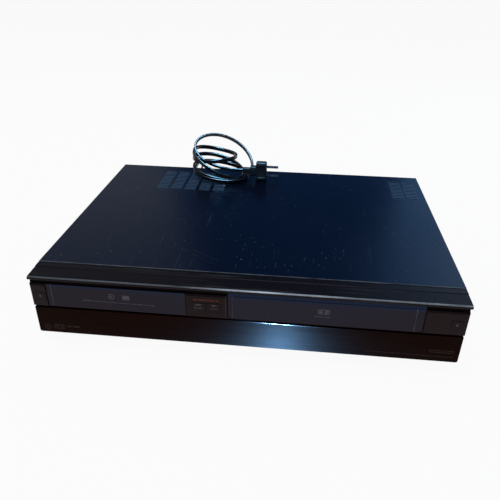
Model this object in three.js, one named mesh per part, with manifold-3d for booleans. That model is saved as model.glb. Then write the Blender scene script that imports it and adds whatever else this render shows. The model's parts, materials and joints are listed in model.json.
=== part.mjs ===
// Disc and tape combo player: a low wide box with a disc drive on the left and a tape deck on the right.
// Sizes are in millimetres. X runs to the right, Y to the back and Z up, and the feet stand on Z = 0.
import * as THREE from 'three';
import { mergeVertices } from 'three/addons/utils/BufferGeometryUtils.js';
import Module from 'manifold-3d';

const wasm = await Module();
wasm.setup();

// Fits that the whole player shares
const gap = 0.3;
const overrun = 2;
const sheet = 1;
const wall = 2;
const roundSides = 16;
const smallSides = 8;

// Front, from left to right
const leftEndWidth = 16.5;
const discDoorWidth = 143;
const dubZoneWidth = 41;
const tapeDoorWidth = 189.1;
const rightEndWidth = 40.4;
const width = leftEndWidth + discDoorWidth + dubZoneWidth + tapeDoorWidth + rightEndWidth;
const halfWidth = width / 2;
const discX = leftEndWidth + discDoorWidth / 2 - halfWidth;
const dubX = leftEndWidth + discDoorWidth + dubZoneWidth / 2 - halfWidth;
const tapeX = halfWidth - rightEndWidth - tapeDoorWidth / 2;

// Front, from the floor up
const footHeight = 12;
const flapClearance = 2.5;
const flapHeight = 31.5;
const seamHeight = 2;
const faceHeight = 26.8;
const grooveHeight = 3.5;
const noseRadius = 2;
const noseDrop = 1.7;
const noseSteps = 6;
const flapBottom = footHeight + flapClearance;
const flapTop = flapBottom + flapHeight;
const faceBottom = flapTop + seamHeight;
const faceTop = faceBottom + faceHeight;
const grooveTop = faceTop + grooveHeight;
const height = grooveTop + 2 * noseRadius + noseDrop;
const panTop = footHeight + sheet;

// From the nose to the back; y in the front groups is measured from the nose
const noseReach = 28.4;
const mechanismDepth = 225.6;
const rearBayDepth = 62.2;
const jackReach = 7.8;
const coverDepth = mechanismDepth + rearBayDepth;
const frontY = -(noseReach + coverDepth + jackReach) / 2;
const coverFront = frontY + noseReach;
const coverRear = coverFront + coverDepth;

// Top cover and its vents
const coverLip = 10;
const panFit = 0.7;
const panFlangeHeight = 28;
const panFrontHeight = 18;
const panSlotRows = 8;
const panSlotInset = 20;
const panSlotPitch = 8;
const panSlotWidth = 24;
const panSlotDepth = 3;
const ventSlotWidth = 14;
const ventSlotDepth = 2.4;
const ventPitch = 5;
const ventRearMargin = 20.5;
const leftVentColumns = 5;
const leftVentRows = 13;
const leftVentPitch = 19.2;
const leftVentInset = 77.5;
const rightVentColumns = 2;
const rightVentRows = 12;
const rightVentPitch = 18.5;
const rightVentInset = 16.5;

// Screws and feet
const screwRadius = 1.6;
const screwHeadRadius = 3.5;
const screwHeadHeight = 1.8;
const screwLength = 8;
const screwRise = 16;
const sideScrewInset = 44;
const rearScrewInset = 40;
const rearScrewDrop = 5;
const footRadius = 15;
const footTaper = 1.5;
const footInset = 30;
const footEndInset = 28;

// Front moulding
const faceInset = 1.2;
const faceSetback = 0.8;
const faceThickness = 2.5;
const grooveSetback = 2.6;
const seamSetback = 4.6;
const shelfThickness = 1.4;
const recessDepth = 13.7;
const coverStep = 0.6;
const stripWidth = 8.2;
const stripStep = 0.5;
const shelfRoot = 6;
const tongueLength = 5.6;
const tongueInset = 10;
const doorGap = 0.4;
const bezelRear = noseReach - gap;

// Drop flap
const flapThickness = 3;
const flapCornerRadius = 2;
const flapCornerSteps = 4;
const flapBevel = 0.5;
const flapAxisOffset = 3.5;
const flapPinRadius = 1.2;
const earWidth = 3.5;
const earRadius = 3.2;
const bracketWidth = 2.5;
const bracketInset = 5.5;
const flapAxisY = faceSetback + flapThickness + flapAxisOffset;
const flapAxisZ = flapBottom + flapAxisOffset;

// Push buttons
const buttonTravel = 1;
const buttonProud = 0.3;
const buttonFit = 0.25;
const buttonFlange = 1;
const buttonStem = 4;
const endButtonHeight = 9;
const endButtonRise = 11.9;
const powerButtonWidth = 9.6;
const powerButtonInset = 10.2;
const ejectButtonWidth = 10.5;
const ejectButtonInset = 10.45;
const dubButtonWidth = 13.5;
const dubButtonHeight = 9.6;
const dubButtonWeb = 1.5;
const dubButtonRise = 12.1;
const keyWidth = 12;
const keyHeight = 5;
const keyPitch = 20;
const keyInset = 45;
const keyProud = 2;

// Front board, display tube and front jacks
const boardThickness = 1.6;
const boardStandoff = 3;
const boardBossRadius = 3;
const frontBoardBottom = 3.5;
const wingRise = 20;
const wingInset = 4;
const endWingWidth = 11;
const dubWingWidth = 36;
const bossInset = 20;
const displayWidth = 100;
const displayHeight = 20;
const displayThickness = 4.4;
const jackRadius = 4.1;
const jackBore = 1.7;
const jackPitch = 16;
const jackProud = 2.7;
const frontJacks = 4;
const frontJackInset = 45;
const recessRise = 15.5;

// Disc tray and its drive frame; heights run up from the lower edge of the doors
const trayRise = 8;
const trayDoorReach = 6.5;
const trayThickness = 3.5;
const trayLength = 176;
const discRadius = 60.5;
const discPocket = 2;
const discMargin = 13.7;
const hubHoleRadius = 20;
const traySlotLength = 76;
const driveWall = 2.4;
const driveSideGap = 2.6;
const driveFront = 22;
const driveLength = 173;
const driveBaseDrop = 20;
const driveBase = 2.5;
const ledgeReach = 5;
const keeperLength = 30;
const legWidth = 6;
const legLength = 8;
const legInset = 10;
const bridgeWidth = 34;
const bridgeClearance = 6.5;
const clampHoleRadius = 12;
const clampRadius = 16;
const clampThickness = 1.7;
const clampReach = 5.3;
const clampHubFit = 1.1;

// Tray rack and pinion
const toothModule = 1;
const pinionTeeth = 16;
const addendumShare = 0.8;
const dedendumShare = 1.2;
const toothWidthShare = 0.38;
const toothSlopeShare = 0.364;
const rackInset = 12;
const rackHeight = 3;
const rackBack = 2.8;
const pinionFromNose = 40;
const pinionRise = 2.5;
const pinionPulleyRadius = 13;
const pinionPulleyThickness = 4;
const axleRadius = 1.5;
const axleFit = 0.3;
const motorRadius = 10;
const motorHeight = 13;
const motorPulleyRadius = 4;
const motorFromPinion = 31;

// Lifting traverse with turntable, pickup sled and rods
const traverseWidth = 88;
const traverseFront = 23;
const traverseRear = 92;
const traverseThickness = 3.5;
const traverseRim = 4;
const traverseWindowWidth = 40;
const spindleRadius = 12;
const spindleDepth = 7;
const spindleRise = 3.7;
const turntableRadius = 14;
const turntableThickness = 2;
const turntableBoss = 5;
const turntableShaft = 1;
const turntableBossHeight = 2.7;
const turntableHubRadius = 7.4;
const turntableHubHeight = 3.5;
const rodRadius = 1.5;
const rodSpacing = 50;
const rodRise = 2.9;
const rodStart = 10;
const rodLength = 74;
const rodHolder = 4;
const sledWidth = 58;
const sledLength = 20;
const sledThickness = 5;
const sledStart = 17;
const lensRadius = 4;
const lensHeight = 2.1;
const lensFromSpindle = 24;

// Tape deck; heights run up from its steel plate
const deckRise = 15;
const deckThickness = 1.5;
const deckFront = 35;
const deckSideThickness = 1.5;
const deckSideRearMargin = 5;
const deckSideHeight = 48.5;
const slideFit = 0.5;
const holderSheet = 1;
const holderLength = 75;
const holderLedge = 10;
const yokeTravel = 60;
const holderDrop = 16.5;
const ledgeRise = 0.3;
const holderHeight = 28.2;
const yokeClearance = 0.7;
const yokeSkirtRise = 1.5;
const guidePinRadius = 1;
const yokePinInset = 15;
const yokePinDrop = 5;
const holderPinInset = 24;
const holderPinDrop = 6.9;
const reelSpacing = 92;
const reelFromNose = 112;
const reelRadius = 20;
const reelThickness = 2;
const reelSpindleRadius = 4.6;
const reelSpindleHeight = 15.7;
const reelFins = 3;
const reelFinReach = 1.6;
const drumRadius = 31;
const drumFromNose = 207;
const drumFootRadius = 22;
const drumFootHeight = 6.5;
const lowerDrumHeight = 10;
const upperDrumHeight = 19;
const drumShaftRadius = 2.5;
const drumShaftReach = 8;
const drumRim = 9;
const drumTilt = -5 * Math.PI / 180;
const capstanX = 58;
const capstanFromNose = 176;
const capstanRadius = 1.5;
const capstanHeight = 26;
const flywheelRadius = 26;
const flywheelThickness = 6;
const flywheelHubRadius = 6;
const flywheelDrop = 3.7;
const rollerRadius = 6.5;
const rollerHeight = 17;
const rollerOffsetX = 8;
const rollerOffsetY = 6;
const rollerCollar = 3;

// Tape door, hung from its top edge
const tapeDoorThickness = 2.1;
const tapePivotRise = 2.6;
const tapePivotSetback = 3.3;
const tapeBarrelRadius = 1.5;
const tapePinRadius = 0.8;
const tapePinLength = 2.4;
const tapeEarWidth = 3.5;
const tapeEarDepth = 3.6;
const creaseDepth = 0.9;
const discCrease = 5.2;
const tapeLeftCrease = 6.9;
const tapeRightCrease = 8.3;

// Boards, power parts, jacks and fan in the rear bay
const standoffHeight = 7;
const standoffRadius = 4;
const standoffInset = 6;
const mainBoardWidth = 115;
const mainBoardRearGap = 5;
const mainBoardFromNose = 60;
const powerBoardWidth = 120;
const powerBoardInset = 10;
const boardFrontGap = 9;
const boardRearGap = 6;
const transformerWidth = 35;
const transformerHeight = 30;
const capacitorRadius = 11;
const capacitorHeight = 34;
const heatSinkWidth = 40;
const heatSinkHeight = 28;
const heatSinkFins = 5;
const finThickness = 1.5;
const finPitch = 4;
const chipSize = 26;
const chipHeight = 2.2;
const coolerHeight = 9;
const jackBoardLeft = -5;
const jackBoardInset = 10;
const jackBoardMargin = 14.2;
const jackColumns = 6;
const jackRows = 2;
const rearJackPitch = 15;
const jackBlockLeft = 8;
const jackBlockHeight = 34;
const jackBlockDepth = 12;
const rearJackReach = 6.2;
const socketWidth = 15;
const socketHeight = 5;
const tunerWidth = 44;
const tunerHeight = 34;
const tunerDepth = 30;
const tunerInset = 24;
const antennaRadius = 4.75;
const antennaBore = 1.2;
const antennaSpacing = 17;
const fanSize = 50;
const fanThickness = 12;
const fanX = -50;
const fanRise = 8;
const fanBladeRadius = 22;
const fanHubRadius = 10;
const fanBlades = 7;
const fanPitch = 0.6;
const fanStrut = 3;
const bladeThickness = 1.4;
const grilleSlots = 7;
const grilleSlotHeight = 3;

// Mains lead; glandX and glandRise place the hole it comes out of
const glandX = -165;
const glandRise = 21;
const glandRadius = 6;
const glandFlangeRadius = 8;
const glandFlange = 2;
const reliefRadius = 5.2;
const reliefTipRadius = 3.9;
const reliefLength = 22;
const leadHalfWidth = 2.7;
const leadHalfThickness = 1.4;
const leadSides = 8;
const leadSteps = 20;
const leadRun = 8;
const leadPoints = [[-161, 196, 32], [-151, 206, 28], [-136, 210, 30], [-120, 207, 45], [-107, 198, 66],
  [-102, 183, 85], [-100.6, 165, 92], [-100.4, 147, 95.5]];

// Coil on the cover. Each row is one turn: middle x and y, rise over the cover, reach to the side and to
// the back, and how much the turn leans up to the right and to the back
const coilTurns = [
  [-62, 117.5, 10, 40, 25, -3.5, 4],
  [-62, 119, 9, 37.5, 24, -3.5, 4],
  [-68, 123, 15, 36.5, 26, -8.5, 5],
  [-72.5, 132, 29, 29.5, 24, -0.5, -2],
  [-63, 131, 24.5, 42, 29, -16, 15],
  [-31.5, 144.5, 38.5, 69, 23, 2, 23],
];
const coilStartTurn = 0.5;
const coilEndTurn = 4.75;
const coilSteps = 24;
const coilSides = 6;
const coilFineSteps = 6;
const coilNearSteps = 5;

// Plug, from the lead to the blades
const plugReliefLength = 10.8;
const plugReliefHeight = 8;
const plugNeckLength = 8;
const plugNeckHeight = 13.6;
const plugBodyLength = 15;
const plugBodyHeight = 27;
const plugThickness = 10;
const plugBevel = 2.5;
const bladeSpacing = 12.7;
const bladeLength = 15.9;
const bladeWidth = 6.35;
const plugBladeThickness = 1.5;

const rearPanelFront = coverRear - sheet - gap - sheet;
const rearPanelRear = rearPanelFront + sheet;
const boardFrontY = recessDepth + wall + boardStandoff;
const trayWidth = discDoorWidth - 2 * trayDoorReach;
const trayZ = faceBottom + trayRise;
const trayTop = trayZ + trayThickness;
const driveBaseTop = trayZ - driveBaseDrop + driveBase;
const spindleY = faceSetback + flapThickness + gap + discMargin + discRadius;
const deckZ = panTop + deckRise;
const deckTop = deckZ + deckThickness;
const deckSideLength = holderLength + yokeTravel + deckSideRearMargin;
const holderZ = faceBottom - ledgeRise;
const holderHalf = tapeDoorWidth / 2 + gap;
const yokeHalf = holderHalf + holderSheet + slideFit;
const deckHalf = yokeHalf + holderSheet + slideFit;
const boardZ = panTop + standoffHeight;
const boardTop = boardZ + boardThickness;

// Makes a closed mesh with merged corners into a solid, and a solid into a mesh
function toSolid(geometry) {
  const bare = geometry.clone();
  bare.deleteAttribute('normal');
  bare.deleteAttribute('uv');
  const merged = mergeVertices(bare);
  return new wasm.Manifold(new wasm.Mesh({
    numProp: 3,
    vertProperties: new Float32Array(merged.attributes.position.array),
    triVerts: new Uint32Array(merged.index.array),
  }));
}

function toGeometry(solid) {
  const mesh = solid.getMesh();
  const geometry = new THREE.BufferGeometry();
  geometry.setAttribute('position', new THREE.BufferAttribute(new Float32Array(mesh.vertProperties), 3));
  geometry.setIndex(new THREE.BufferAttribute(new Uint32Array(mesh.triVerts), 1));
  geometry.computeVertexNormals();
  return geometry;
}

function join(...pieces) {
  return toGeometry(pieces.map(toSolid).reduce((whole, piece) => whole.add(piece)));
}

function cut(base, ...tools) {
  return toGeometry(tools.map(toSolid).reduce((rest, tool) => rest.subtract(tool), toSolid(base)));
}

// A block between two corners
function block(x0, x1, y0, y1, z0, z1) {
  const geometry = new THREE.BoxGeometry(x1 - x0, y1 - y0, z1 - z0);
  return geometry.translate((x0 + x1) / 2, (y0 + y1) / 2, (z0 + z1) / 2);
}

// A round bar along X, Y or Z, from one end to the other
function barX(radius, x0, x1, y, z, sides = roundSides) {
  const geometry = new THREE.CylinderGeometry(radius, radius, x1 - x0, sides).rotateZ(Math.PI / 2);
  return geometry.translate((x0 + x1) / 2, y, z);
}

function barY(radius, y0, y1, x, z, sides = roundSides) {
  return new THREE.CylinderGeometry(radius, radius, y1 - y0, sides).translate(x, (y0 + y1) / 2, z);
}

function barZ(radius, z0, z1, x, y, sides = roundSides) {
  const geometry = new THREE.CylinderGeometry(radius, radius, z1 - z0, sides).rotateX(Math.PI / 2);
  return geometry.translate(x, y, (z0 + z1) / 2);
}

// A turned piece about Z, from [radius, height] pairs
function turned(profile, sides = roundSides) {
  const points = profile.map(([radius, z]) => new THREE.Vector2(radius, z));
  return new THREE.LatheGeometry(points, sides).rotateX(Math.PI / 2);
}

// An outline of [y, z] points carried along X, or of [x, y] points carried along Z
function alongX(outline, x0, x1) {
  const shape = new THREE.Shape(outline.map(([y, z]) => new THREE.Vector2(y, z)));
  const geometry = new THREE.ExtrudeGeometry(shape, { depth: x1 - x0, bevelEnabled: false });
  const turn = new THREE.Matrix4().makeBasis(
    new THREE.Vector3(0, 1, 0), new THREE.Vector3(0, 0, 1), new THREE.Vector3(1, 0, 0));
  return geometry.applyMatrix4(turn).translate(x0, 0, 0);
}

function alongZ(outline, z0, z1) {
  const shape = new THREE.Shape(outline.map(([x, y]) => new THREE.Vector2(x, y)));
  return new THREE.ExtrudeGeometry(shape, { depth: z1 - z0, bevelEnabled: false }).translate(0, 0, z0);
}

const player = new THREE.Group();

function addNode(group, name, geometry, color, roughness, metalness) {
  const mesh = new THREE.Mesh(geometry, new THREE.MeshStandardMaterial({ color, roughness, metalness }));
  mesh.name = name;
  group.add(mesh);
  return mesh;
}

function addGroup(x, y, z, parent = player) {
  const group = new THREE.Group();
  group.position.set(x, y, z);
  parent.add(group);
  return group;
}

// Top cover: one folded steel sheet with vent slots, open at the front and the bottom
function ventSlots(firstX, pitch, columns, rows) {
  const slots = [];
  for (let column = 0; column < columns; column += 1) {
    for (let row = 0; row < rows; row += 1) {
      const x = firstX + column * pitch;
      const y = coverRear - ventRearMargin - row * ventPitch;
      slots.push(block(x - ventSlotWidth / 2, x + ventSlotWidth / 2,
        y - ventSlotDepth, y, height - sheet - overrun, height + overrun));
    }
  }
  return slots;
}

const sideScrewYs = [coverFront + sideScrewInset, coverRear - sideScrewInset];
const screwZ = footHeight + screwRise;
const rearScrewXs = [rearScrewInset - halfWidth, halfWidth - rearScrewInset];
const rearScrewZ = height - rearScrewDrop;
const screwHole = screwRadius + gap;

function topCover() {
  const outside = block(-halfWidth, halfWidth, coverFront, coverRear, panTop, height);
  const inside = block(sheet - halfWidth, halfWidth - sheet, coverFront - overrun, coverRear - sheet,
    panTop - overrun, height - sheet);
  const rearWindow = block(coverLip - halfWidth, halfWidth - coverLip, coverRear - sheet - overrun,
    coverRear + overrun, panTop - overrun, height - coverLip);
  const screwHoles = [
    ...sideScrewYs.map((y) => barX(screwHole, -halfWidth - overrun, halfWidth + overrun, y, screwZ,
      smallSides)),
    ...rearScrewXs.map((x) => barY(screwHole, coverRear - sheet - overrun, coverRear + overrun, x, rearScrewZ,
      smallSides)),
  ];
  const rightVents = halfWidth - rightVentInset - (rightVentColumns - 1) * rightVentPitch;
  return cut(outside, inside, rearWindow, ...screwHoles,
    ...ventSlots(leftVentInset - halfWidth, leftVentPitch, leftVentColumns, leftVentRows),
    ...ventSlots(rightVents, rightVentPitch, rightVentColumns, rightVentRows));
}
addNode(player, 'top_cover', topCover(), 0x23262c, 0.45, 0.6);

// Chassis pan: a steel tray with folded flanges and stand-offs for the boards and the tape deck
const panHalf = halfWidth - sheet - panFit;
const driveRear = driveFront + driveLength;
const mainBoardLength = driveRear - mainBoardRearGap - mainBoardFromNose;
const deckLength = noseReach + mechanismDepth - deckFront;
const deckPlateHalf = deckHalf + deckSideThickness;
const powerLeft = powerBoardInset - halfWidth;
const powerFront = frontY + driveRear + boardFrontGap;
const powerRear = rearPanelFront - boardRearGap;
const jackBoardRear = rearPanelFront - gap;
const jackBoardFront = jackBoardRear - rearBayDepth + jackBoardMargin;
const jackBoardRight = halfWidth - jackBoardInset;

// The four corners of a board, drawn in by the edge margin
function corners(x0, x1, y0, y1) {
  const xs = [x0 + standoffInset, x1 - standoffInset];
  const ys = [y0 + standoffInset, y1 - standoffInset];
  return xs.flatMap((x) => ys.map((y) => [x, y]));
}

function standoffs(places, top) {
  return places.map(([x, y]) => barZ(standoffRadius, panTop - sheet / 2, top, x, y, smallSides));
}

const mainBoardCorners = corners(discX - mainBoardWidth / 2, discX + mainBoardWidth / 2,
  frontY + mainBoardFromNose, frontY + mainBoardFromNose + mainBoardLength);
const powerBoardCorners = corners(powerLeft, powerLeft + powerBoardWidth, powerFront, powerRear);
const jackBoardCorners = corners(jackBoardLeft, jackBoardRight, jackBoardFront, jackBoardRear);
const deckCorners = corners(tapeX - deckPlateHalf, tapeX + deckPlateHalf,
  frontY + deckFront, frontY + deckFront + deckLength);

function chassisPan() {
  const flangeTop = footHeight + panFlangeHeight;
  const bottom = block(-panHalf, panHalf, coverFront, rearPanelRear, footHeight, panTop);
  const left = block(-panHalf, sheet - panHalf, coverFront, rearPanelRear, footHeight, flangeTop);
  const right = block(panHalf - sheet, panHalf, coverFront, rearPanelRear, footHeight, flangeTop);
  const front = block(-panHalf, panHalf, coverFront, coverFront + sheet, footHeight,
    footHeight + panFrontHeight);
  const holes = sideScrewYs.map((y) => barX(screwHole, -halfWidth, halfWidth, y, screwZ, smallSides));
  const slots = [];
  for (let row = 0; row < panSlotRows; row += 1) {
    const y = powerFront + panSlotInset + row * panSlotPitch;
    slots.push(block(powerLeft + panSlotInset, powerLeft + panSlotInset + panSlotWidth, y, y + panSlotDepth,
      footHeight - overrun, panTop + overrun));
  }
  const tray = join(bottom, left, right, front,
    ...standoffs([...mainBoardCorners, ...powerBoardCorners, ...jackBoardCorners], boardZ - gap),
    ...standoffs(deckCorners, deckZ - gap));
  return cut(tray, ...holes, ...slots);
}
addNode(player, 'chassis_pan', chassisPan(), 0xa9adb0, 0.45, 0.8);

// Rear panel: a steel plate pierced for the fan, the jacks, the antenna sockets and the mains lead
const rearJackX = (column) => jackBlockLeft + (column + 0.5) * rearJackPitch;
const rearJackZ = (row) => boardTop + jackBlockHeight / 2 + (row - (jackRows - 1) / 2) * rearJackPitch;
const jackBlockRight = jackBlockLeft + jackColumns * rearJackPitch;
const socketX = jackBlockRight + socketWidth;
const tunerRight = halfWidth - tunerInset;
const antennaX = tunerRight - tunerWidth / 2;
const antennaZs = [tunerHeight / 2 - antennaSpacing / 2, tunerHeight / 2 + antennaSpacing / 2]
  .map((rise) => boardTop + rise);
const fanZ = panTop + fanRise + fanSize / 2;
const glandZ = panTop + glandRise;

function rearPanel() {
  const panelHalf = panHalf - sheet - gap;
  const y0 = rearPanelFront - overrun;
  const y1 = rearPanelRear + overrun;
  const plate = block(-panelHalf, panelHalf, rearPanelFront, rearPanelRear, panTop + gap,
    height - sheet - gap);
  const holes = [
    barY(glandRadius + gap, y0, y1, glandX, glandZ),
    block(socketX - socketWidth / 2 - gap, socketX + socketWidth / 2 + gap, y0, y1,
      boardTop - sheet, boardTop + socketHeight + gap),
    ...rearScrewXs.map((x) => barY(screwHole, y0, y1, x, rearScrewZ, smallSides)),
    ...antennaZs.map((z) => barY(antennaRadius + gap, y0, y1, antennaX, z)),
  ];
  for (let column = 0; column < jackColumns; column += 1) {
    for (let row = 0; row < jackRows; row += 1) {
      holes.push(barY(jackRadius + gap, y0, y1, rearJackX(column), rearJackZ(row), smallSides));
    }
  }
  for (let slot = 0; slot < grilleSlots; slot += 1) {
    const z = fanZ + (slot - (grilleSlots - 1) / 2) * 2 * grilleSlotHeight;
    const reach = Math.sqrt(fanBladeRadius ** 2 - (z - fanZ) ** 2);
    holes.push(block(fanX - reach, fanX + reach, y0, y1, z - grilleSlotHeight / 2, z + grilleSlotHeight / 2));
  }
  return cut(plate, ...holes);
}
addNode(player, 'rear_panel', rearPanel(), 0x2a2c2f, 0.5, 0.6);

// Screws: a domed head on a plain shank, made along Z with the head's seat at zero
function screw() {
  return turned([[0, -screwLength], [screwRadius, -screwLength], [screwRadius, 0], [screwHeadRadius, 0],
    [screwHeadRadius, screwHeadHeight / 2], [screwHeadRadius / 2, screwHeadHeight], [0, screwHeadHeight]],
  smallSides);
}

sideScrewYs.forEach((y, place) => {
  [-1, 1].forEach((side) => {
    const label = `${side < 0 ? 'left' : 'right'}_${place === 0 ? 'front' : 'rear'}`;
    const mesh = addNode(player, `cover_screw_${label}`, screw(), 0x2b2b2e, 0.4, 0.8);
    mesh.position.set(side * halfWidth, y, screwZ);
    mesh.rotation.y = side * Math.PI / 2;
  });
});

rearScrewXs.forEach((x) => {
  const mesh = addNode(player, `rear_screw_${x < 0 ? 'left' : 'right'}`, screw(), 0x2b2b2e, 0.4, 0.8);
  mesh.position.set(x, coverRear, rearScrewZ);
  mesh.rotation.x = -Math.PI / 2;
});

// Feet: turned plastic pads under the pan
[-1, 1].forEach((side) => {
  [[coverFront + footEndInset, 'front'], [coverRear - footEndInset, 'rear']].forEach(([y, end]) => {
    const foot = turned([[0, 0], [footRadius - footTaper, 0], [footRadius, footTaper],
      [footRadius, footHeight], [0, footHeight]]);
    const mesh = addNode(player, `foot_${side < 0 ? 'left' : 'right'}_${end}`, foot, 0x151515, 0.8, 0);
    mesh.position.set(side * (halfWidth - footInset), y, 0);
  });
});

// Front moulding: one section carried across the width, then pierced for the doors, buttons and jacks
const front = addGroup(0, frontY, 0);
const bezelTop = height - coverStep;
const faceRear = faceSetback + faceThickness;
const grooveRear = grooveSetback + faceThickness;
const recessRear = recessDepth + wall;
const discLeft = discX - discDoorWidth / 2;
const discRight = discX + discDoorWidth / 2;
const tapeLeft = tapeX - tapeDoorWidth / 2;
const tapeRight = tapeX + tapeDoorWidth / 2;
const tapePivotY = faceSetback + tapePivotSetback;
const tapePivotZ = faceTop + tapePivotRise;
const bracketOuter = halfWidth - bracketInset;
const bracketInner = bracketOuter - bracketWidth;
const earOuter = bracketInner - gap;

const powerButton = { name: 'power_button', x: powerButtonInset - halfWidth, z: faceBottom + endButtonRise,
  width: powerButtonWidth, height: endButtonHeight, front: faceSetback - buttonProud, seat: faceRear };
const ejectButton = { ...powerButton, name: 'eject_button', x: halfWidth - ejectButtonInset,
  width: ejectButtonWidth };
const dubOffset = (dubButtonWidth + dubButtonWeb) / 2;
const dubButtons = [-1, 1].map((side) => ({ ...powerButton,
  name: side < 0 ? 'dub_to_disc_button' : 'dub_to_tape_button', x: dubX + side * dubOffset,
  z: faceBottom + dubButtonRise, width: dubButtonWidth, height: dubButtonHeight }));
const keyButtons = ['tray_key', 'play_key', 'stop_key', 'record_key'].map((name, index) => ({ name,
  x: keyInset - halfWidth + index * keyPitch, z: flapBottom + recessRise, width: keyWidth, height: keyHeight,
  front: recessDepth - keyProud, seat: recessRear }));
const buttons = [powerButton, ejectButton, ...dubButtons, ...keyButtons];
const frontJackXs = Array.from({ length: frontJacks },
  (_, jack) => halfWidth - frontJackInset - jack * jackPitch);
const displayZ = flapBottom + recessRise;
const bossXs = [bossInset - halfWidth, -displayWidth / 2 - bossInset, displayWidth / 2 + bossInset,
  halfWidth - bossInset];

function noseArc() {
  const points = [];
  for (let step = 0; step <= noseSteps; step += 1) {
    const angle = Math.PI * (0.5 + step / noseSteps);
    points.push([noseRadius * (1 + Math.cos(angle)), grooveTop + noseRadius * (1 + Math.sin(angle))]);
  }
  return points;
}

function frontBezel() {
  const shell = alongX([
    [bezelRear, bezelTop], [bezelRear - stripWidth, bezelTop],
    [bezelRear - stripWidth - stripStep, bezelTop - stripStep], ...noseArc(),
    [grooveSetback, grooveTop], [grooveSetback, faceTop], [faceSetback, faceTop], [faceSetback, faceBottom],
    [grooveSetback, faceBottom], [grooveSetback, faceBottom - shelfThickness],
    [recessDepth, faceBottom - shelfThickness], [recessDepth, flapBottom], [bezelRear, flapBottom],
    [bezelRear, flapBottom + wall], [recessRear, flapBottom + wall], [recessRear, faceBottom],
    [shelfRoot, faceBottom], [shelfRoot, faceBottom + shelfThickness],
    [faceRear, faceBottom + shelfThickness], [faceRear, faceTop - wall], [grooveRear, faceTop - wall],
    [grooveRear, grooveTop + wall], [bezelRear, bezelTop - wall],
  ], -halfWidth, halfWidth);
  const endOutline = [
    [bezelRear, flapBottom], [bezelRear, bezelTop - wall / 2], [grooveRear - wall / 2, grooveTop + noseRadius],
    [grooveRear - wall / 2, faceTop - wall], [faceRear - wall / 2, faceTop - wall],
    [faceRear - wall / 2, faceBottom], [seamSetback, faceBottom], [seamSetback, flapAxisZ],
    [flapAxisY, flapBottom + 2 * gap], [recessDepth, flapBottom + 2 * gap], [recessDepth, flapBottom],
  ];
  const endOuter = halfWidth - faceInset;
  const ends = [alongX(endOutline, -endOuter, wall - endOuter), alongX(endOutline, endOuter - wall, endOuter)];
  const tongue = block(tongueInset - halfWidth, halfWidth - tongueInset, bezelRear - wall,
    bezelRear + tongueLength, bezelTop - wall, height - sheet - gap);
  const brackets = [[-bracketOuter, -bracketInner], [bracketInner, bracketOuter]].flatMap(([x0, x1]) => [
    barX(earRadius, x0, x1, flapAxisY, flapAxisZ),
    block(x0, x1, flapAxisY, recessDepth + wall / 2, flapAxisZ - earRadius, flapAxisZ + earRadius)]);
  const tapeEars = [[tapeLeft - tapeEarWidth, tapeLeft], [tapeRight, tapeRight + tapeEarWidth]]
    .map(([x0, x1]) => block(x0, x1, grooveSetback, grooveSetback + tapeEarDepth, faceTop + gap,
      grooveTop + wall));
  const bosses = bossXs.map((x) => barY(boardBossRadius, recessRear - wall / 2, boardFrontY - gap, x,
    displayZ, smallSides));
  const body = join(shell, ...ends, tongue, ...brackets, ...tapeEars, ...bosses);
  const trims = [[-halfWidth - overrun, -endOuter], [endOuter, halfWidth + overrun]].map(([x0, x1]) =>
    block(x0, x1, -overrun, bezelRear + overrun, flapBottom - overrun, grooveTop));
  const doorways = [
    block(discLeft, discRight, -overrun, shelfRoot + overrun, faceBottom, faceTop - gap / 2),
    block(tapeLeft, tapeRight, -overrun, shelfRoot + overrun, faceBottom, grooveTop - gap),
    block(tapeLeft, tapeRight, tapePivotY - tapeBarrelRadius - gap, shelfRoot + overrun, faceBottom,
      tapePivotZ + tapeBarrelRadius + gap),
  ];
  const pinHoles = [
    barX(tapePinRadius + gap, tapeLeft - tapePinLength - gap, tapeRight + tapePinLength + gap, tapePivotY,
      tapePivotZ, smallSides),
    barX(flapPinRadius + gap, -bracketOuter - gap, -bracketInner + gap, flapAxisY, flapAxisZ),
    barX(flapPinRadius + gap, bracketInner - gap, bracketOuter + gap, flapAxisY, flapAxisZ),
  ];
  const buttonHoles = buttons.map((button) => {
    const halfX = button.width / 2 + buttonFit;
    const halfZ = button.height / 2 + buttonFit;
    return block(button.x - halfX, button.x + halfX, button.front - overrun, button.seat + overrun,
      button.z - halfZ, button.z + halfZ);
  });
  const jackHoles = frontJackXs.map((x) => barY(jackRadius + gap, recessDepth - overrun, recessRear + overrun,
    x, displayZ));
  const displayWindow = block(-displayWidth / 2 - gap, displayWidth / 2 + gap, recessDepth - overrun,
    recessRear + overrun, displayZ - displayHeight / 2 - gap, displayZ + displayHeight / 2 + gap);
  return cut(body, ...trims, ...doorways, ...pinHoles, ...buttonHoles, ...jackHoles, displayWindow);
}
addNode(front, 'front_bezel', frontBezel(), 0x2a2023, 0.35, 0.1);

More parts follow.
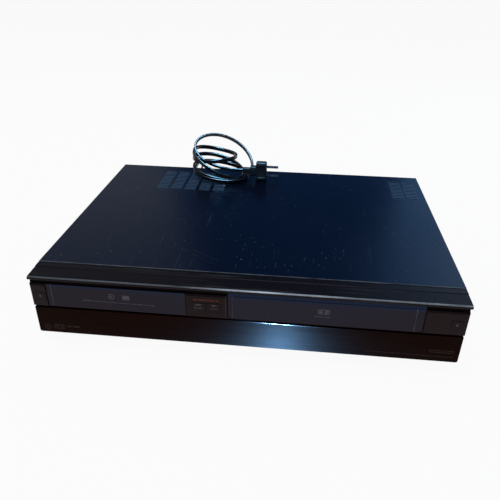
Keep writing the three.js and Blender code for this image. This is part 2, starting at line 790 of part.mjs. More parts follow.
// Drop flap: a brushed plate with two ears and pins near its lower edge
function frontFlap() {
  const half = halfWidth - faceInset - gap;
  const outline = new THREE.Shape();
  outline.moveTo(-half, flapTop - flapBevel);
  outline.lineTo(-half, flapBottom + flapCornerRadius);
  outline.absarc(-half + flapCornerRadius, flapBottom + flapCornerRadius, flapCornerRadius,
    Math.PI, 1.5 * Math.PI, false);
  outline.absarc(half - flapCornerRadius, flapBottom + flapCornerRadius, flapCornerRadius,
    1.5 * Math.PI, 2 * Math.PI, false);
  outline.lineTo(half, flapTop - flapBevel);
  const plate = new THREE.ExtrudeGeometry(outline,
    { depth: flapThickness, bevelEnabled: false, curveSegments: flapCornerSteps });
  plate.rotateX(Math.PI / 2).translate(0, faceSetback + flapThickness, 0);
  const topEdge = alongX([[faceSetback + flapBevel, flapTop], [faceSetback, flapTop - flapBevel],
    [faceSetback, flapTop - 2 * flapBevel], [faceSetback + flapThickness, flapTop - 2 * flapBevel],
    [faceSetback + flapThickness, flapTop]], -half, half);
  const ears = [-1, 1].flatMap((side) => {
    const [x0, x1] = [side * earOuter, side * (earOuter - earWidth)].sort((a, b) => a - b);
    const [pin0, pin1] = [side * (earOuter - earWidth / 2), side * bracketOuter].sort((a, b) => a - b);
    return [
      barX(earRadius, x0, x1, flapAxisY, flapAxisZ),
      block(x0, x1, faceSetback + flapThickness / 2, flapAxisY, flapAxisZ - earRadius, flapAxisZ + earRadius),
      barX(flapPinRadius, pin0, pin1, flapAxisY, flapAxisZ),
    ];
  });
  return join(plate, topEdge, ...ears);
}
addNode(front, 'front_flap', frontFlap(), 0x2b1a12, 0.3, 0.6);

// Push buttons: a cap through the moulding, a flange behind it and a stem that reaches the switch
function pushButton({ name, x, z, width: capWidth, height: capHeight, front: capFront, seat }) {
  const flangeFront = seat + gap;
  const stemEnd = boardFrontY - buttonTravel - gap;
  const halfX = capWidth / 2;
  const halfZ = capHeight / 2;
  const cap = block(x - halfX, x + halfX, capFront, flangeFront + buttonFlange / 2, z - halfZ, z + halfZ);
  const flange = block(x - halfX, x + halfX, flangeFront, Math.min(flangeFront + buttonFlange, stemEnd),
    z - halfZ - buttonFlange, z + halfZ + buttonFlange);
  const stem = block(x - buttonStem / 2, x + buttonStem / 2, flangeFront + buttonFlange / 2, stemEnd,
    z - buttonStem / 2, z + buttonStem / 2);
  return addNode(front, name, join(cap, flange, stem), 0x2a2023, 0.4, 0.1);
}
buttons.forEach(pushButton);

// Tape door: a flap creased near both ends, on a barrel and pins along its top edge
function tapeDoor() {
  const half = tapeDoorWidth / 2 - doorGap;
  const rear = faceSetback + tapeDoorThickness;
  const plate = alongZ([[-half, faceSetback + creaseDepth], [tapeLeftCrease - half, faceSetback],
    [half - tapeRightCrease, faceSetback], [half, faceSetback + creaseDepth], [half, rear], [-half, rear]],
  faceBottom + gap, faceTop - gap);
  const strap = alongX([[faceSetback + creaseDepth, faceTop - wall], [rear, faceTop - wall],
    [tapePivotY + tapeBarrelRadius / 2, tapePivotZ], [tapePivotY - tapeBarrelRadius / 2, tapePivotZ],
    [faceSetback + creaseDepth, faceTop - gap]], -half, half);
  const barrel = barX(tapeBarrelRadius, -half, half, tapePivotY, tapePivotZ, smallSides);
  const pins = barX(tapePinRadius, -half - tapePinLength, half + tapePinLength, tapePivotY, tapePivotZ,
    smallSides);
  return join(plate, strap, barrel, pins);
}
const tapeGroup = addGroup(tapeX, 0, 0, front);
addNode(tapeGroup, 'tape_door', tapeDoor(), 0x2d2427, 0.35, 0.1);

// Display tube in its window, and the front board with the front input jacks
addNode(front, 'display_tube', block(-displayWidth / 2, displayWidth / 2, boardFrontY - gap - displayThickness,
  boardFrontY - gap, displayZ - displayHeight / 2, displayZ + displayHeight / 2), 0x0c1416, 0.1, 0);

function frontBoard() {
  const half = halfWidth - wingInset;
  const bottom = flapBottom + frontBoardBottom;
  const wingTop = faceBottom + wingRise;
  const rear = boardFrontY + boardThickness;
  const strip = block(-half, half, boardFrontY, rear, bottom, faceBottom - boardStandoff);
  const wings = [[-half, endWingWidth - half], [dubX - dubWingWidth / 2, dubX + dubWingWidth / 2],
    [half - endWingWidth, half]].map(([x0, x1]) => block(x0, x1, boardFrontY, rear, bottom, wingTop));
  const barrels = frontJackXs.map((x) => barY(jackRadius, recessDepth - jackProud,
    boardFrontY + boardThickness / 2, x, displayZ));
  const bores = frontJackXs.map((x) => barY(jackBore, recessDepth - jackProud - overrun, recessRear, x,
    displayZ, smallSides));
  return cut(join(strip, ...wings, ...barrels), ...bores);
}
addNode(front, 'front_board', frontBoard(), 0x1f5a35, 0.6, 0);

// Disc drive: everything here is placed from the middle of the disc door and the nose
const drive = addGroup(discX, frontY, 0);
const driveInner = trayWidth / 2 + driveSideGap;
const driveOuter = driveInner + driveWall;
const bridgeZ = trayTop + bridgeClearance;
const trayFront = faceSetback + flapThickness + gap;
const toothPitch = Math.PI * toothModule;
const pitchRadius = toothModule * pinionTeeth / 2;
const toothHalf = toothWidthShare * toothPitch / 2;
const addendum = addendumShare * toothModule;
const dedendum = dedendumShare * toothModule;
const tipHalf = toothHalf - toothSlopeShare * addendum;
const rootHalf = toothHalf + toothSlopeShare * dedendum;
const rackPitchX = rackInset - trayWidth / 2;
const pinionX = rackPitchX + pitchRadius;
const pinionBottom = driveBaseTop + pinionRise;
const pulleyTop = pinionBottom + pinionPulleyThickness;
const motorX = pinionX + motorFromPinion;
const motorShaftRadius = axleRadius - gap;

function driveFrame() {
  const baseBottom = driveBaseTop - driveBase;
  const base = block(-driveOuter, driveOuter, driveFront, driveRear, baseBottom, driveBaseTop);
  const opening = traverseWidth / 2 - traverseRim;
  const traverseOpening = block(-opening, opening, spindleY - traverseFront + traverseRim,
    spindleY + traverseRear - traverseRim, baseBottom - overrun, driveBaseTop + overrun);
  const sides = [-1, 1].flatMap((side) => {
    const span = (inner, outer) => [side * inner, side * outer].sort((a, b) => a - b);
    const ledge = driveInner - driveSideGap - ledgeReach;
    return [
      block(...span(driveInner, driveOuter), driveFront, driveRear, baseBottom, bridgeZ),
      block(...span(ledge, driveInner + driveWall / 2), driveFront, driveRear, trayZ - gap - wall,
        trayZ - gap),
      ...[driveFront, driveFront + driveLength / 2].map((y) =>
        block(...span(ledge, driveInner + driveWall / 2), y, y + keeperLength, trayTop + gap,
          trayTop + gap + wall)),
      ...[driveFront + legInset, driveRear - legInset - legLength].map((y) =>
        block(...span(driveOuter - legWidth, driveOuter), y, y + legLength, panTop + gap,
          baseBottom + driveBase / 2)),
    ];
  });
  const bridge = block(-driveOuter, driveOuter, spindleY - bridgeWidth / 2, spindleY + bridgeWidth / 2,
    bridgeZ, bridgeZ + wall);
  const post = barZ(axleRadius, driveBaseTop - driveBase / 2, trayZ - rackHeight, pinionX, pinionFromNose);
  return cut(join(base, ...sides, bridge, post), traverseOpening,
    barZ(clampHoleRadius, bridgeZ - overrun, bridgeZ + wall + overrun, 0, spindleY),
    barZ(motorShaftRadius + gap, baseBottom - overrun, driveBaseTop + overrun, motorX, pinionFromNose));
}
addNode(drive, 'drive_frame', driveFrame(), 0x17181a, 0.6, 0);

// Tray: a plate with the disc pocket, the slot for the turntable and pickup, and a toothed rack below
function rack() {
  const points = [];
  const firstTooth = -3;
  const lastTooth = Math.floor((trayFront + trayLength - pinionFromNose) / toothPitch) - 1;
  for (let tooth = firstTooth; tooth <= lastTooth; tooth += 1) {
    const y = pinionFromNose + (tooth + 0.5) * toothPitch;
    points.push([rackPitchX - dedendum, y - rootHalf], [rackPitchX + addendum, y - tipHalf],
      [rackPitchX + addendum, y + tipHalf], [rackPitchX - dedendum, y + rootHalf]);
  }
  const back = rackPitchX - dedendum - rackBack;
  points.push([back, points[points.length - 1][1]], [back, points[0][1]]);
  return alongZ(points, trayZ - rackHeight, trayZ + sheet);
}

function discTray() {
  const plate = block(-trayWidth / 2, trayWidth / 2, trayFront, trayFront + trayLength, trayZ, trayTop);
  return cut(join(plate, rack()),
    barZ(discRadius, trayTop - discPocket, trayTop + overrun, 0, spindleY, 2 * roundSides),
    barZ(hubHoleRadius, trayZ - overrun, trayTop + overrun, 0, spindleY),
    block(-hubHoleRadius, hubHoleRadius, spindleY, spindleY + traySlotLength, trayZ - overrun,
      trayTop + overrun));
}
addNode(drive, 'disc_tray', discTray(), 0x1b1b1d, 0.5, 0);

function trayDoor() {
  const half = discDoorWidth / 2 - doorGap;
  const rear = faceSetback + flapThickness;
  return alongZ([[-half, faceSetback + creaseDepth], [discCrease - half, faceSetback], [half, faceSetback],
    [half, rear], [-half, rear]], faceBottom + gap, faceTop - gap);
}
addNode(drive, 'tray_door', trayDoor(), 0x2d2427, 0.35, 0.1);

function gearOutline() {
  const points = [];
  for (let tooth = 0; tooth < pinionTeeth; tooth += 1) {
    const middle = Math.PI + tooth * 2 * Math.PI / pinionTeeth;
    [[-rootHalf, -dedendum], [-tipHalf, addendum], [tipHalf, addendum], [rootHalf, -dedendum]]
      .forEach(([across, out]) => {
        const radius = pitchRadius + out;
        const angle = middle + across / radius;
        points.push([radius * Math.cos(angle), radius * Math.sin(angle)]);
      });
  }
  return points;
}

function trayPinion() {
  const boss = barZ(axleRadius + wall, driveBaseTop + gap, pulleyTop, 0, 0);
  const pulley = barZ(pinionPulleyRadius, pinionBottom, pulleyTop, 0, 0);
  const teeth = alongZ(gearOutline(), pulleyTop - sheet, trayZ - 2 * gap);
  const bore = barZ(axleRadius + axleFit, driveBaseTop - overrun, trayZ + overrun, 0, 0);
  return cut(join(boss, pulley, teeth), bore);
}
addNode(drive, 'tray_pinion', trayPinion(), 0xd8d8d2, 0.5, 0).position.set(pinionX, pinionFromNose, 0);

function loadingMotor() {
  const canTop = driveBaseTop - driveBase - gap;
  return join(barZ(motorRadius, canTop - motorHeight, canTop, 0, 0),
    barZ(motorShaftRadius, canTop - sheet, pulleyTop, 0, 0, smallSides),
    barZ(motorPulleyRadius, pinionBottom, pulleyTop, 0, 0));
}
addNode(drive, 'loading_motor', loadingMotor(), 0xb9bcc0, 0.4, 0.8).position.set(motorX, pinionFromNose, 0);

// Traverse: the plate that lifts the turntable, the rods and the pickup sled through the tray
const traverse = addGroup(0, spindleY, driveBaseTop + gap, drive);
const canTop = traverseThickness + spindleRise;
const rodZ = traverseThickness + rodRise;

function traversePlate() {
  const plate = block(-traverseWidth / 2, traverseWidth / 2, -traverseFront, traverseRear, 0,
    traverseThickness);
  const can = barZ(spindleRadius, -spindleDepth, canTop, 0, 0);
  const window = block(-traverseWindowWidth / 2, traverseWindowWidth / 2, spindleRadius + wall,
    rodStart + rodLength - rodHolder, -overrun, traverseThickness + overrun);
  const holders = [-1, 1].flatMap((side) => [rodStart - wall, rodStart + rodLength - wall].map((y) =>
    block(side * rodSpacing / 2 - rodHolder, side * rodSpacing / 2 + rodHolder, y, y + 2 * wall,
      traverseThickness / 2, rodZ + rodRadius + 2 * gap)));
  const rodHoles = [-1, 1].map((side) => barY(rodRadius + gap, rodStart - overrun - wall,
    rodStart + rodLength + wall + overrun, side * rodSpacing / 2, rodZ));
  const shaftHole = barZ(turntableShaft + gap, canTop - spindleDepth, canTop + overrun, 0, 0, smallSides);
  return cut(join(plate, can, ...holders), window, ...rodHoles, shaftHole);
}
addNode(traverse, 'traverse', traversePlate(), 0x8f9396, 0.5, 0.6);

function turntable() {
  const discBottom = canTop + gap + turntableBossHeight;
  const discTop = discBottom + turntableThickness;
  return turned([[0, canTop - spindleDepth / 2], [turntableShaft, canTop - spindleDepth / 2],
    [turntableShaft, canTop + gap], [turntableBoss, canTop + gap], [turntableBoss, discBottom],
    [turntableRadius, discBottom], [turntableRadius, discTop], [turntableHubRadius, discTop],
    [turntableHubRadius, discTop + turntableHubHeight - gap],
    [turntableHubRadius - 2 * gap, discTop + turntableHubHeight], [0, discTop + turntableHubHeight]]);
}
addNode(traverse, 'turntable', turntable(), 0x2a2b2d, 0.5, 0.1);

[-1, 1].forEach((side) => {
  addNode(traverse, `sled_rod_${side < 0 ? 'left' : 'right'}`,
    barY(rodRadius, rodStart - wall, rodStart + rodLength + wall, side * rodSpacing / 2, rodZ),
    0xd0d3d6, 0.2, 1);
});

function pickupSled() {
  const bottom = traverseThickness + 2 * gap;
  const top = bottom + sledThickness;
  const body = block(-sledWidth / 2, sledWidth / 2, sledStart, sledStart + sledLength, bottom, top);
  const lens = barZ(lensRadius, top - sheet, top + lensHeight, 0, lensFromSpindle);
  const bores = [-1, 1].map((side) => barY(rodRadius + axleFit, sledStart - overrun,
    sledStart + sledLength + overrun, side * rodSpacing / 2, rodZ));
  return cut(join(body, lens), ...bores);
}
addNode(traverse, 'pickup_sled', pickupSled(), 0x3b3e42, 0.4, 0.5);

// Disc clamp: a puck that hangs in the bridge over the turntable
function discClamp() {
  const flangeBottom = bridgeZ + wall + gap;
  const bottom = bridgeZ - clampReach;
  const hubRadius = clampHoleRadius - slideFit;
  const recess = turntableHubRadius + clampHubFit;
  return turned([[0, bottom + wall], [recess, bottom + wall], [recess, bottom], [hubRadius, bottom],
    [hubRadius, flangeBottom], [clampRadius, flangeBottom], [clampRadius, flangeBottom + clampThickness],
    [0, flangeBottom + clampThickness]]);
}
addNode(drive, 'disc_clamp', discClamp(), 0x26282b, 0.5, 0.1).position.set(0, spindleY, 0);

// Tape deck: everything here is placed from the middle of the tape door and the nose
const deck = addGroup(tapeX, frontY, 0);
const holderTop = holderZ + holderHeight;
const yokeTop = holderTop + yokeClearance + holderSheet;
const yokePinZ = yokeTop - yokePinDrop;
const yokePinYs = [deckFront + yokePinInset, deckFront + holderLength - yokePinInset];
const holderPinZ = holderTop - holderPinDrop;
const holderPinYs = [deckFront + holderPinInset, deckFront + holderLength - holderPinInset];
const pinSlot = guidePinRadius + gap;
const rollerX = capstanX + rollerOffsetX;
const rollerFromNose = capstanFromNose + rollerOffsetY;

function deckPlate() {
  const plate = block(-deckPlateHalf, deckPlateHalf, deckFront, deckFront + deckLength, deckZ, deckTop);
  const reelPosts = [-1, 1].map((side) => barZ(axleRadius, deckZ + deckThickness / 2,
    deckTop + reelSpindleHeight - axleRadius, side * reelSpacing / 2, reelFromNose, smallSides));
  const rollerPost = barZ(axleRadius - gap, deckZ + deckThickness / 2, deckTop + rollerCollar + rollerHeight,
    rollerX, rollerFromNose, smallSides);
  const collar = barZ(rollerCollar, deckZ + deckThickness / 2, deckTop + rollerCollar, rollerX, rollerFromNose,
    smallSides);
  return cut(join(plate, ...reelPosts, rollerPost, collar),
    barZ(capstanRadius + gap, deckZ - overrun, deckTop + overrun, capstanX, capstanFromNose));
}
addNode(deck, 'deck_plate', deckPlate(), 0xb4b8bb, 0.4, 0.8);

function deckSide(side) {
  const [x0, x1] = [side * deckHalf, side * deckPlateHalf].sort((a, b) => a - b);
  const plate = block(x0, x1, deckFront, deckFront + deckSideLength, deckTop, deckTop + deckSideHeight);
  return cut(plate, block(x0 - overrun, x1 + overrun, yokePinYs[0] - pinSlot,
    yokePinYs[1] + yokeTravel + pinSlot, yokePinZ - pinSlot, yokePinZ + pinSlot));
}
addNode(deck, 'deck_side_left', deckSide(-1), 0xb4b8bb, 0.4, 0.8);
addNode(deck, 'deck_side_right', deckSide(1), 0xb4b8bb, 0.4, 0.8);

// Yoke: slides back in the side plates and lets the holder drop between its skirts
function cassetteYoke() {
  const outer = yokeHalf + holderSheet;
  const rear = deckFront + holderLength;
  const top = cut(block(-outer, outer, deckFront, rear, yokeTop - holderSheet, yokeTop),
    block(holderLedge - yokeHalf, yokeHalf - holderLedge, deckFront + holderLedge, rear - holderLedge,
      yokeTop - overrun, yokeTop + overrun));
  const skirts = [-1, 1].map((side) => {
    const [x0, x1] = [side * yokeHalf, side * outer].sort((a, b) => a - b);
    const slots = holderPinYs.map((y) => block(x0 - overrun, x1 + overrun, y - pinSlot, y + pinSlot,
      holderPinZ - holderDrop - pinSlot, holderPinZ + pinSlot));
    return cut(block(x0, x1, deckFront, rear, holderZ + yokeSkirtRise, yokeTop), ...slots);
  });
  const pins = [-1, 1].flatMap((side) => yokePinYs.map((y) => {
    const [x0, x1] = [side * (outer - holderSheet / 2), side * (deckPlateHalf - gap)].sort((a, b) => a - b);
    return barX(guidePinRadius, x0, x1, y, yokePinZ, smallSides);
  }));
  return join(top, ...skirts, ...pins);
}
addNode(deck, 'cassette_yoke', cassetteYoke(), 0x9fa3a6, 0.4, 0.8);

function cassetteHolder() {
  const outer = holderHalf + holderSheet;
  const rear = deckFront + holderLength;
  const top = cut(block(-outer, outer, deckFront, rear, holderTop - holderSheet, holderTop),
    block(holderLedge - holderHalf, holderHalf - holderLedge, deckFront + holderLedge, rear - holderLedge,
      holderTop - overrun, holderTop + overrun));
  const sides = [-1, 1].flatMap((side) => {
    const [x0, x1] = [side * holderHalf, side * outer].sort((a, b) => a - b);
    const [ledge0, ledge1] = [side * (holderHalf - holderLedge), side * outer].sort((a, b) => a - b);
    const [pin0, pin1] = [side * (outer - holderSheet / 2), side * (yokeHalf + holderSheet)]
      .sort((a, b) => a - b);
    return [block(x0, x1, deckFront, rear, holderZ, holderTop),
      block(ledge0, ledge1, deckFront, rear, holderZ, holderZ + holderSheet),
      ...holderPinYs.map((y) => barX(guidePinRadius, pin0, pin1, y, holderPinZ, smallSides))];
  });
  const stops = [-1, 1].map((side) => {
    const x = side * (holderHalf - 2 * holderLedge);
    return block(x - holderLedge / 2, x + holderLedge / 2, rear - holderSheet, rear, holderTop - holderLedge,
      holderTop);
  });
  return join(top, ...sides, ...stops);
}
addNode(deck, 'cassette_holder', cassetteHolder(), 0xc3c6c8, 0.4, 0.8);

function reelTable() {
  const bottom = deckTop + gap;
  const discTop = bottom + reelThickness;
  const top = deckTop + reelSpindleHeight;
  const bore = axleRadius + axleFit;
  const table = turned([[bore, bottom], [reelRadius, bottom], [reelRadius, discTop],
    [reelSpindleRadius, discTop], [reelSpindleRadius, top - sheet], [reelSpindleRadius - sheet, top],
    [bore, top], [bore, bottom]]);
  const fins = Array.from({ length: reelFins }, (_, fin) =>
    block(reelSpindleRadius - sheet, reelSpindleRadius + reelFinReach, -sheet / 2, sheet / 2,
      discTop + wall, top - wall).rotateZ(fin * 2 * Math.PI / reelFins));
  return join(table, ...fins);
}
[-1, 1].forEach((side) => {
  addNode(deck, `reel_table_${side < 0 ? 'left' : 'right'}`, reelTable(), 0xdedfda, 0.5, 0)
    .position.set(side * reelSpacing / 2, reelFromNose, 0);
});

// Drums: the lower one stands on the deck plate, the upper one turns on it, and both lean back
const drumBase = deckTop + drumFootHeight;

function lowerDrum() {
  const foot = barZ(drumFootRadius, deckTop + gap, drumBase + wall, 0, 0);
  const ring = barZ(drumRadius, 0, lowerDrumHeight, 0, 0, 2 * roundSides);
  const bore = barZ(drumShaftRadius + gap, lowerDrumHeight - drumShaftReach - gap, lowerDrumHeight + overrun,
    0, 0);
  const lean = (piece) => piece.rotateX(drumTilt).translate(0, 0, drumBase);
  return cut(join(foot, lean(ring)), lean(bore));
}
addNode(deck, 'lower_drum', lowerDrum(), 0xc9ccce, 0.25, 0.9).position.set(0, drumFromNose, 0);

function headDrum() {
  const bottom = lowerDrumHeight + gap;
  const top = bottom + upperDrumHeight;
  return turned([[0, bottom - drumShaftReach], [drumShaftRadius, bottom - drumShaftReach],
    [drumShaftRadius, bottom], [drumRadius, bottom], [drumRadius, top - sheet], [drumRadius - sheet, top],
    [drumRadius - drumRim, top], [drumRadius - drumRim - wall, top - wall], [0, top - wall]], 2 * roundSides);
}
const headGroup = addGroup(0, drumFromNose, drumBase, deck);
headGroup.rotation.x = drumTilt;
addNode(headGroup, 'head_drum', headDrum(), 0xd9dcde, 0.15, 1);

function capstan() {
  const hubTop = deckZ - gap;
  const wheelTop = hubTop - flywheelDrop;
  return turned([[0, wheelTop - flywheelThickness], [flywheelRadius, wheelTop - flywheelThickness],
    [flywheelRadius, wheelTop], [flywheelHubRadius, wheelTop], [flywheelHubRadius, hubTop],
    [capstanRadius, hubTop], [capstanRadius, deckTop + capstanHeight], [0, deckTop + capstanHeight]]);
}
addNode(deck, 'capstan_flywheel', capstan(), 0xc2c5c7, 0.2, 1).position.set(capstanX, capstanFromNose, 0);

function pinchRoller() {
  const bottom = deckTop + rollerCollar + gap;
  const bore = axleRadius - gap + axleFit;
  return turned([[bore, bottom], [rollerRadius, bottom], [rollerRadius, bottom + rollerHeight - wall],
    [bore, bottom + rollerHeight - wall], [bore, bottom]]);
}
addNode(deck, 'pinch_roller', pinchRoller(), 0x1c1c1c, 0.9, 0).position.set(rollerX, rollerFromNose, 0);

// Boards in the casing, each one solid with the parts soldered to it
function chip(x, y, size, rise) {
  return block(x - size / 2, x + size / 2, y - size / 2, y + size / 2, boardTop - sheet / 2, boardTop + rise);
}

function fins(x, y, widthX, finHeight) {
  const plate = block(x - widthX / 2, x + widthX / 2, y - finThickness, y, boardTop - sheet / 2,
    boardTop + finHeight);
  const blades = Array.from({ length: heatSinkFins }, (_, fin) => {
    const finX = x - widthX / 2 + fin * (widthX - finThickness) / (heatSinkFins - 1);
    return block(finX, finX + finThickness, y - finThickness / 2, y + finPitch, boardTop + sheet,
      boardTop + finHeight);
  });
  return [plate, ...blades];
}

function mainBoard() {
  const x = discX;
  const front = frontY + mainBoardFromNose;
  const board = block(x - mainBoardWidth / 2, x + mainBoardWidth / 2, front, front + mainBoardLength,
    boardZ, boardTop);
  const middle = front + mainBoardLength / 2;
  return join(board, chip(x - chipSize, middle, chipSize, coolerHeight),
    chip(x + chipSize, middle, chipSize, chipHeight),
    chip(x, middle - 1.5 * chipSize, chipSize / 2, chipHeight),
    chip(x, middle + 1.5 * chipSize, chipSize / 2, chipHeight));
}
addNode(player, 'main_board', mainBoard(), 0x1f5a35, 0.6, 0);

const transformerX = powerLeft + powerBoardWidth / 2;
const transformerY = (powerFront + powerRear) / 2;
const capacitorX = transformerX - transformerWidth;

function powerBoard() {
  const board = block(powerLeft, powerLeft + powerBoardWidth, powerFront, powerRear, boardZ, boardTop);
  const sink = fins(transformerX + transformerWidth + heatSinkWidth / 4, transformerY, heatSinkWidth / 2,
    heatSinkHeight);
  return join(board, ...sink, chip(transformerX, powerRear - chipSize, chipSize / 2, coolerHeight),
    chip(capacitorX, powerRear - chipSize, chipSize / 2, coolerHeight));
}
addNode(player, 'power_board', powerBoard(), 0xb08a4a, 0.6, 0);

function transformer() {
  const half = transformerWidth / 2;
  const bottom = boardTop + gap;
  const top = bottom + transformerHeight;
  const core = block(-half, half, -half / 2, half / 2, bottom, top);
  const coil = barZ(half - wall, bottom + wall, top - wall, 0, 0);
  return join(core, coil);
}
addNode(player, 'transformer', transformer(), 0xc8a23a, 0.5, 0.2).position.set(transformerX, transformerY, 0);

function mainCapacitor() {
  const bottom = boardTop + gap;
  return turned([[0, bottom], [capacitorRadius, bottom], [capacitorRadius, bottom + capacitorHeight - sheet],
    [capacitorRadius - sheet, bottom + capacitorHeight], [0, bottom + capacitorHeight]]);
}
addNode(player, 'main_capacitor', mainCapacitor(), 0x22324e, 0.4, 0.1)
  .position.set(capacitorX, transformerY, 0);

// Jack board with the tuner can, its two antenna sockets and the wide video socket
function jackBoard() {
  const board = block(jackBoardLeft, jackBoardRight, jackBoardFront, jackBoardRear, boardZ, boardTop);
  const can = block(tunerRight - tunerWidth, tunerRight, jackBoardRear - tunerDepth, jackBoardRear,
    boardTop - sheet / 2, boardTop + tunerHeight);
  const antennas = antennaZs.map((z) => barY(antennaRadius, jackBoardRear - wall, coverRear + jackReach,
    antennaX, z));
  const socket = block(socketX - socketWidth / 2, socketX + socketWidth / 2, jackBoardRear - socketWidth,
    rearPanelRear + gap, boardTop - sheet / 2, boardTop + socketHeight);
  const socketMouth = block(socketX - socketWidth / 2 + sheet, socketX + socketWidth / 2 - sheet,
    jackBoardRear - sheet, rearPanelRear + overrun, boardTop + sheet, boardTop + socketHeight - sheet);
  const bores = antennaZs.map((z) => barY(antennaBore, jackBoardRear, coverRear + jackReach + overrun,
    antennaX, z, smallSides));
  return cut(join(board, can, ...antennas, socket), socketMouth, ...bores);
}
addNode(player, 'jack_board', jackBoard(), 0x1f5a35, 0.6, 0.1);

function jackBlock() {
  const rear = jackBoardRear;
  const body = block(jackBlockLeft, jackBlockRight, rear - jackBlockDepth, rear, boardTop + gap,
    boardTop + gap + jackBlockHeight);
  const barrels = [];
  const bores = [];
  for (let column = 0; column < jackColumns; column += 1) {
    for (let row = 0; row < jackRows; row += 1) {
      const x = rearJackX(column);
      const z = rearJackZ(row);
      barrels.push(barY(jackRadius, rear - wall, rearPanelRear + rearJackReach, x, z, smallSides));
      bores.push(barY(jackBore, rear, rearPanelRear + rearJackReach + overrun, x, z, smallSides));
    }
  }
  return cut(join(body, ...barrels), ...bores);
}
addNode(player, 'jack_block', jackBlock(), 0x1a1a1b, 0.5, 0);

// Fan: a square frame with a round throat and four struts, and a rotor with pitched blades
const fanFront = rearPanelFront - gap - fanThickness;

function fanFrame() {
  const half = fanSize / 2;
  const rear = fanFront + fanThickness;
  const frame = cut(block(-half, half, fanFront, rear, -half, half),
    barY(fanBladeRadius + sheet, fanFront - overrun, rear + overrun, 0, 0));
  return join(frame, barY(fanHubRadius, rear - wall, rear, 0, 0),
    block(-fanBladeRadius - wall, fanBladeRadius + wall, rear - wall, rear, -fanStrut / 2, fanStrut / 2),
    block(-fanStrut / 2, fanStrut / 2, rear - wall, rear, -fanBladeRadius - wall, fanBladeRadius + wall));
}
addNode(player, 'fan_frame', fanFrame(), 0x17181a, 0.6, 0).position.set(fanX, 0, fanZ);

function fanRotor() {
  const rear = fanFront + fanThickness - wall - gap;
  const hub = barY(fanHubRadius, fanFront + sheet, rear, 0, 0);
  const chord = rear - fanFront - wall;
  const blades = Array.from({ length: fanBlades }, (_, blade) => {
    const radial = fanBladeRadius - fanHubRadius + wall;
    return new THREE.BoxGeometry(radial, chord, bladeThickness).rotateX(fanPitch)
      .translate(fanBladeRadius - radial / 2, (fanFront + sheet + rear) / 2, 0)
      .rotateY(blade * 2 * Math.PI / fanBlades);
  });
  return join(hub, ...blades);
}
addNode(player, 'fan_rotor', fanRotor(), 0x202124, 0.6, 0).position.set(fanX, 0, fanZ);

// Mains lead. The gland holds it in the rear panel and tapers off as a strain relief
const glandY = rearPanelRear + gap;
const leadStartY = glandY + glandFlange + reliefLength + gap;

function cordGland() {
  const inside = -sheet - gap - wall;
  const tip = glandFlange + reliefLength;
  return turned([[0, inside], [glandRadius, inside], [glandRadius, 0], [glandFlangeRadius, 0],
    [glandFlangeRadius, glandFlange], [reliefRadius, glandFlange], [reliefTipRadius, tip], [0, tip]]);
}
const glandMesh = addNode(player, 'cord_gland', cordGland(), 0x161616, 0.8, 0);
glandMesh.position.set(glandX, glandY, glandZ);
glandMesh.rotation.x = -Math.PI / 2;

// Values of a turn between the rows of the table, on a smooth curve through them
function turnValues(turn) {
  const row = Math.min(Math.floor(turn), coilTurns.length - 2);
  const u = turn - row;
  const at = (step) => coilTurns[Math.min(Math.max(row + step, 0), coilTurns.length - 1)];
  return at(0).map((p1, index) => {
    const p0 = at(-1)[index];
    const p2 = at(1)[index];
    const p3 = at(2)[index];
    return (2 * p1 + (p2 - p0) * u + (2 * p0 - 5 * p1 + 4 * p2 - p3) * u ** 2
      + (3 * p1 - p0 - 3 * p2 + p3) * u ** 3) / 2;
  });
}

// Middle line of the coil: one place for each step, and the direction in which the lead is wide there
function coilPlace(turn) {
  const [x, y, rise, reachX, reachY, leanX, leanY] = turnValues(turn);
  const angle = 2 * Math.PI * turn;
  return {
    point: new THREE.Vector3(x + reachX * Math.cos(angle), y + reachY * Math.sin(angle),
      height + rise + leanX * Math.cos(angle) + leanY * Math.sin(angle)),
    wide: new THREE.Vector3(-leanX / reachX, -leanY / reachY, 1).normalize(),
  };
}

function coilLine(stepsPerTurn) {
  const count = Math.round((coilEndTurn - coilStartTurn) * stepsPerTurn);
  const places = Array.from({ length: count + 1 }, (_, step) =>
    coilPlace(coilStartTurn + (coilEndTurn - coilStartTurn) * step / count));
  const ahead = places.map((place, step) => new THREE.Vector3().subVectors(
    places[Math.min(step + 1, count)].point, places[Math.max(step - 1, 0)].point).normalize());
  const first = { point: places[0].point.clone().add(new THREE.Vector3(0, 2 * leadHalfWidth, 0)),
    wide: places[0].wide, ahead: new THREE.Vector3(0, -1, 0) };
  const last = { point: places[count].point.clone().add(new THREE.Vector3(2 * leadHalfWidth, 0, 0)),
    wide: places[count].wide, ahead: new THREE.Vector3(1, 0, 0) };
  return [first, ...places.map((place, step) => ({ ...place, ahead: ahead[step] })), last];
}

// Six corners of the lead's flat section at each place
function coilRings(line) {
  return line.map(({ point, wide, ahead }) => {
    const across = new THREE.Vector3().crossVectors(ahead, wide).normalize();
    const up = new THREE.Vector3().crossVectors(across, ahead);
    return Array.from({ length: coilSides }, (_, side) => {
      const angle = 2 * Math.PI * side / coilSides;
      return point.clone().addScaledVector(up, leadHalfWidth * Math.cos(angle))
        .addScaledVector(across, leadHalfThickness * Math.sin(angle));
    });
  });
}

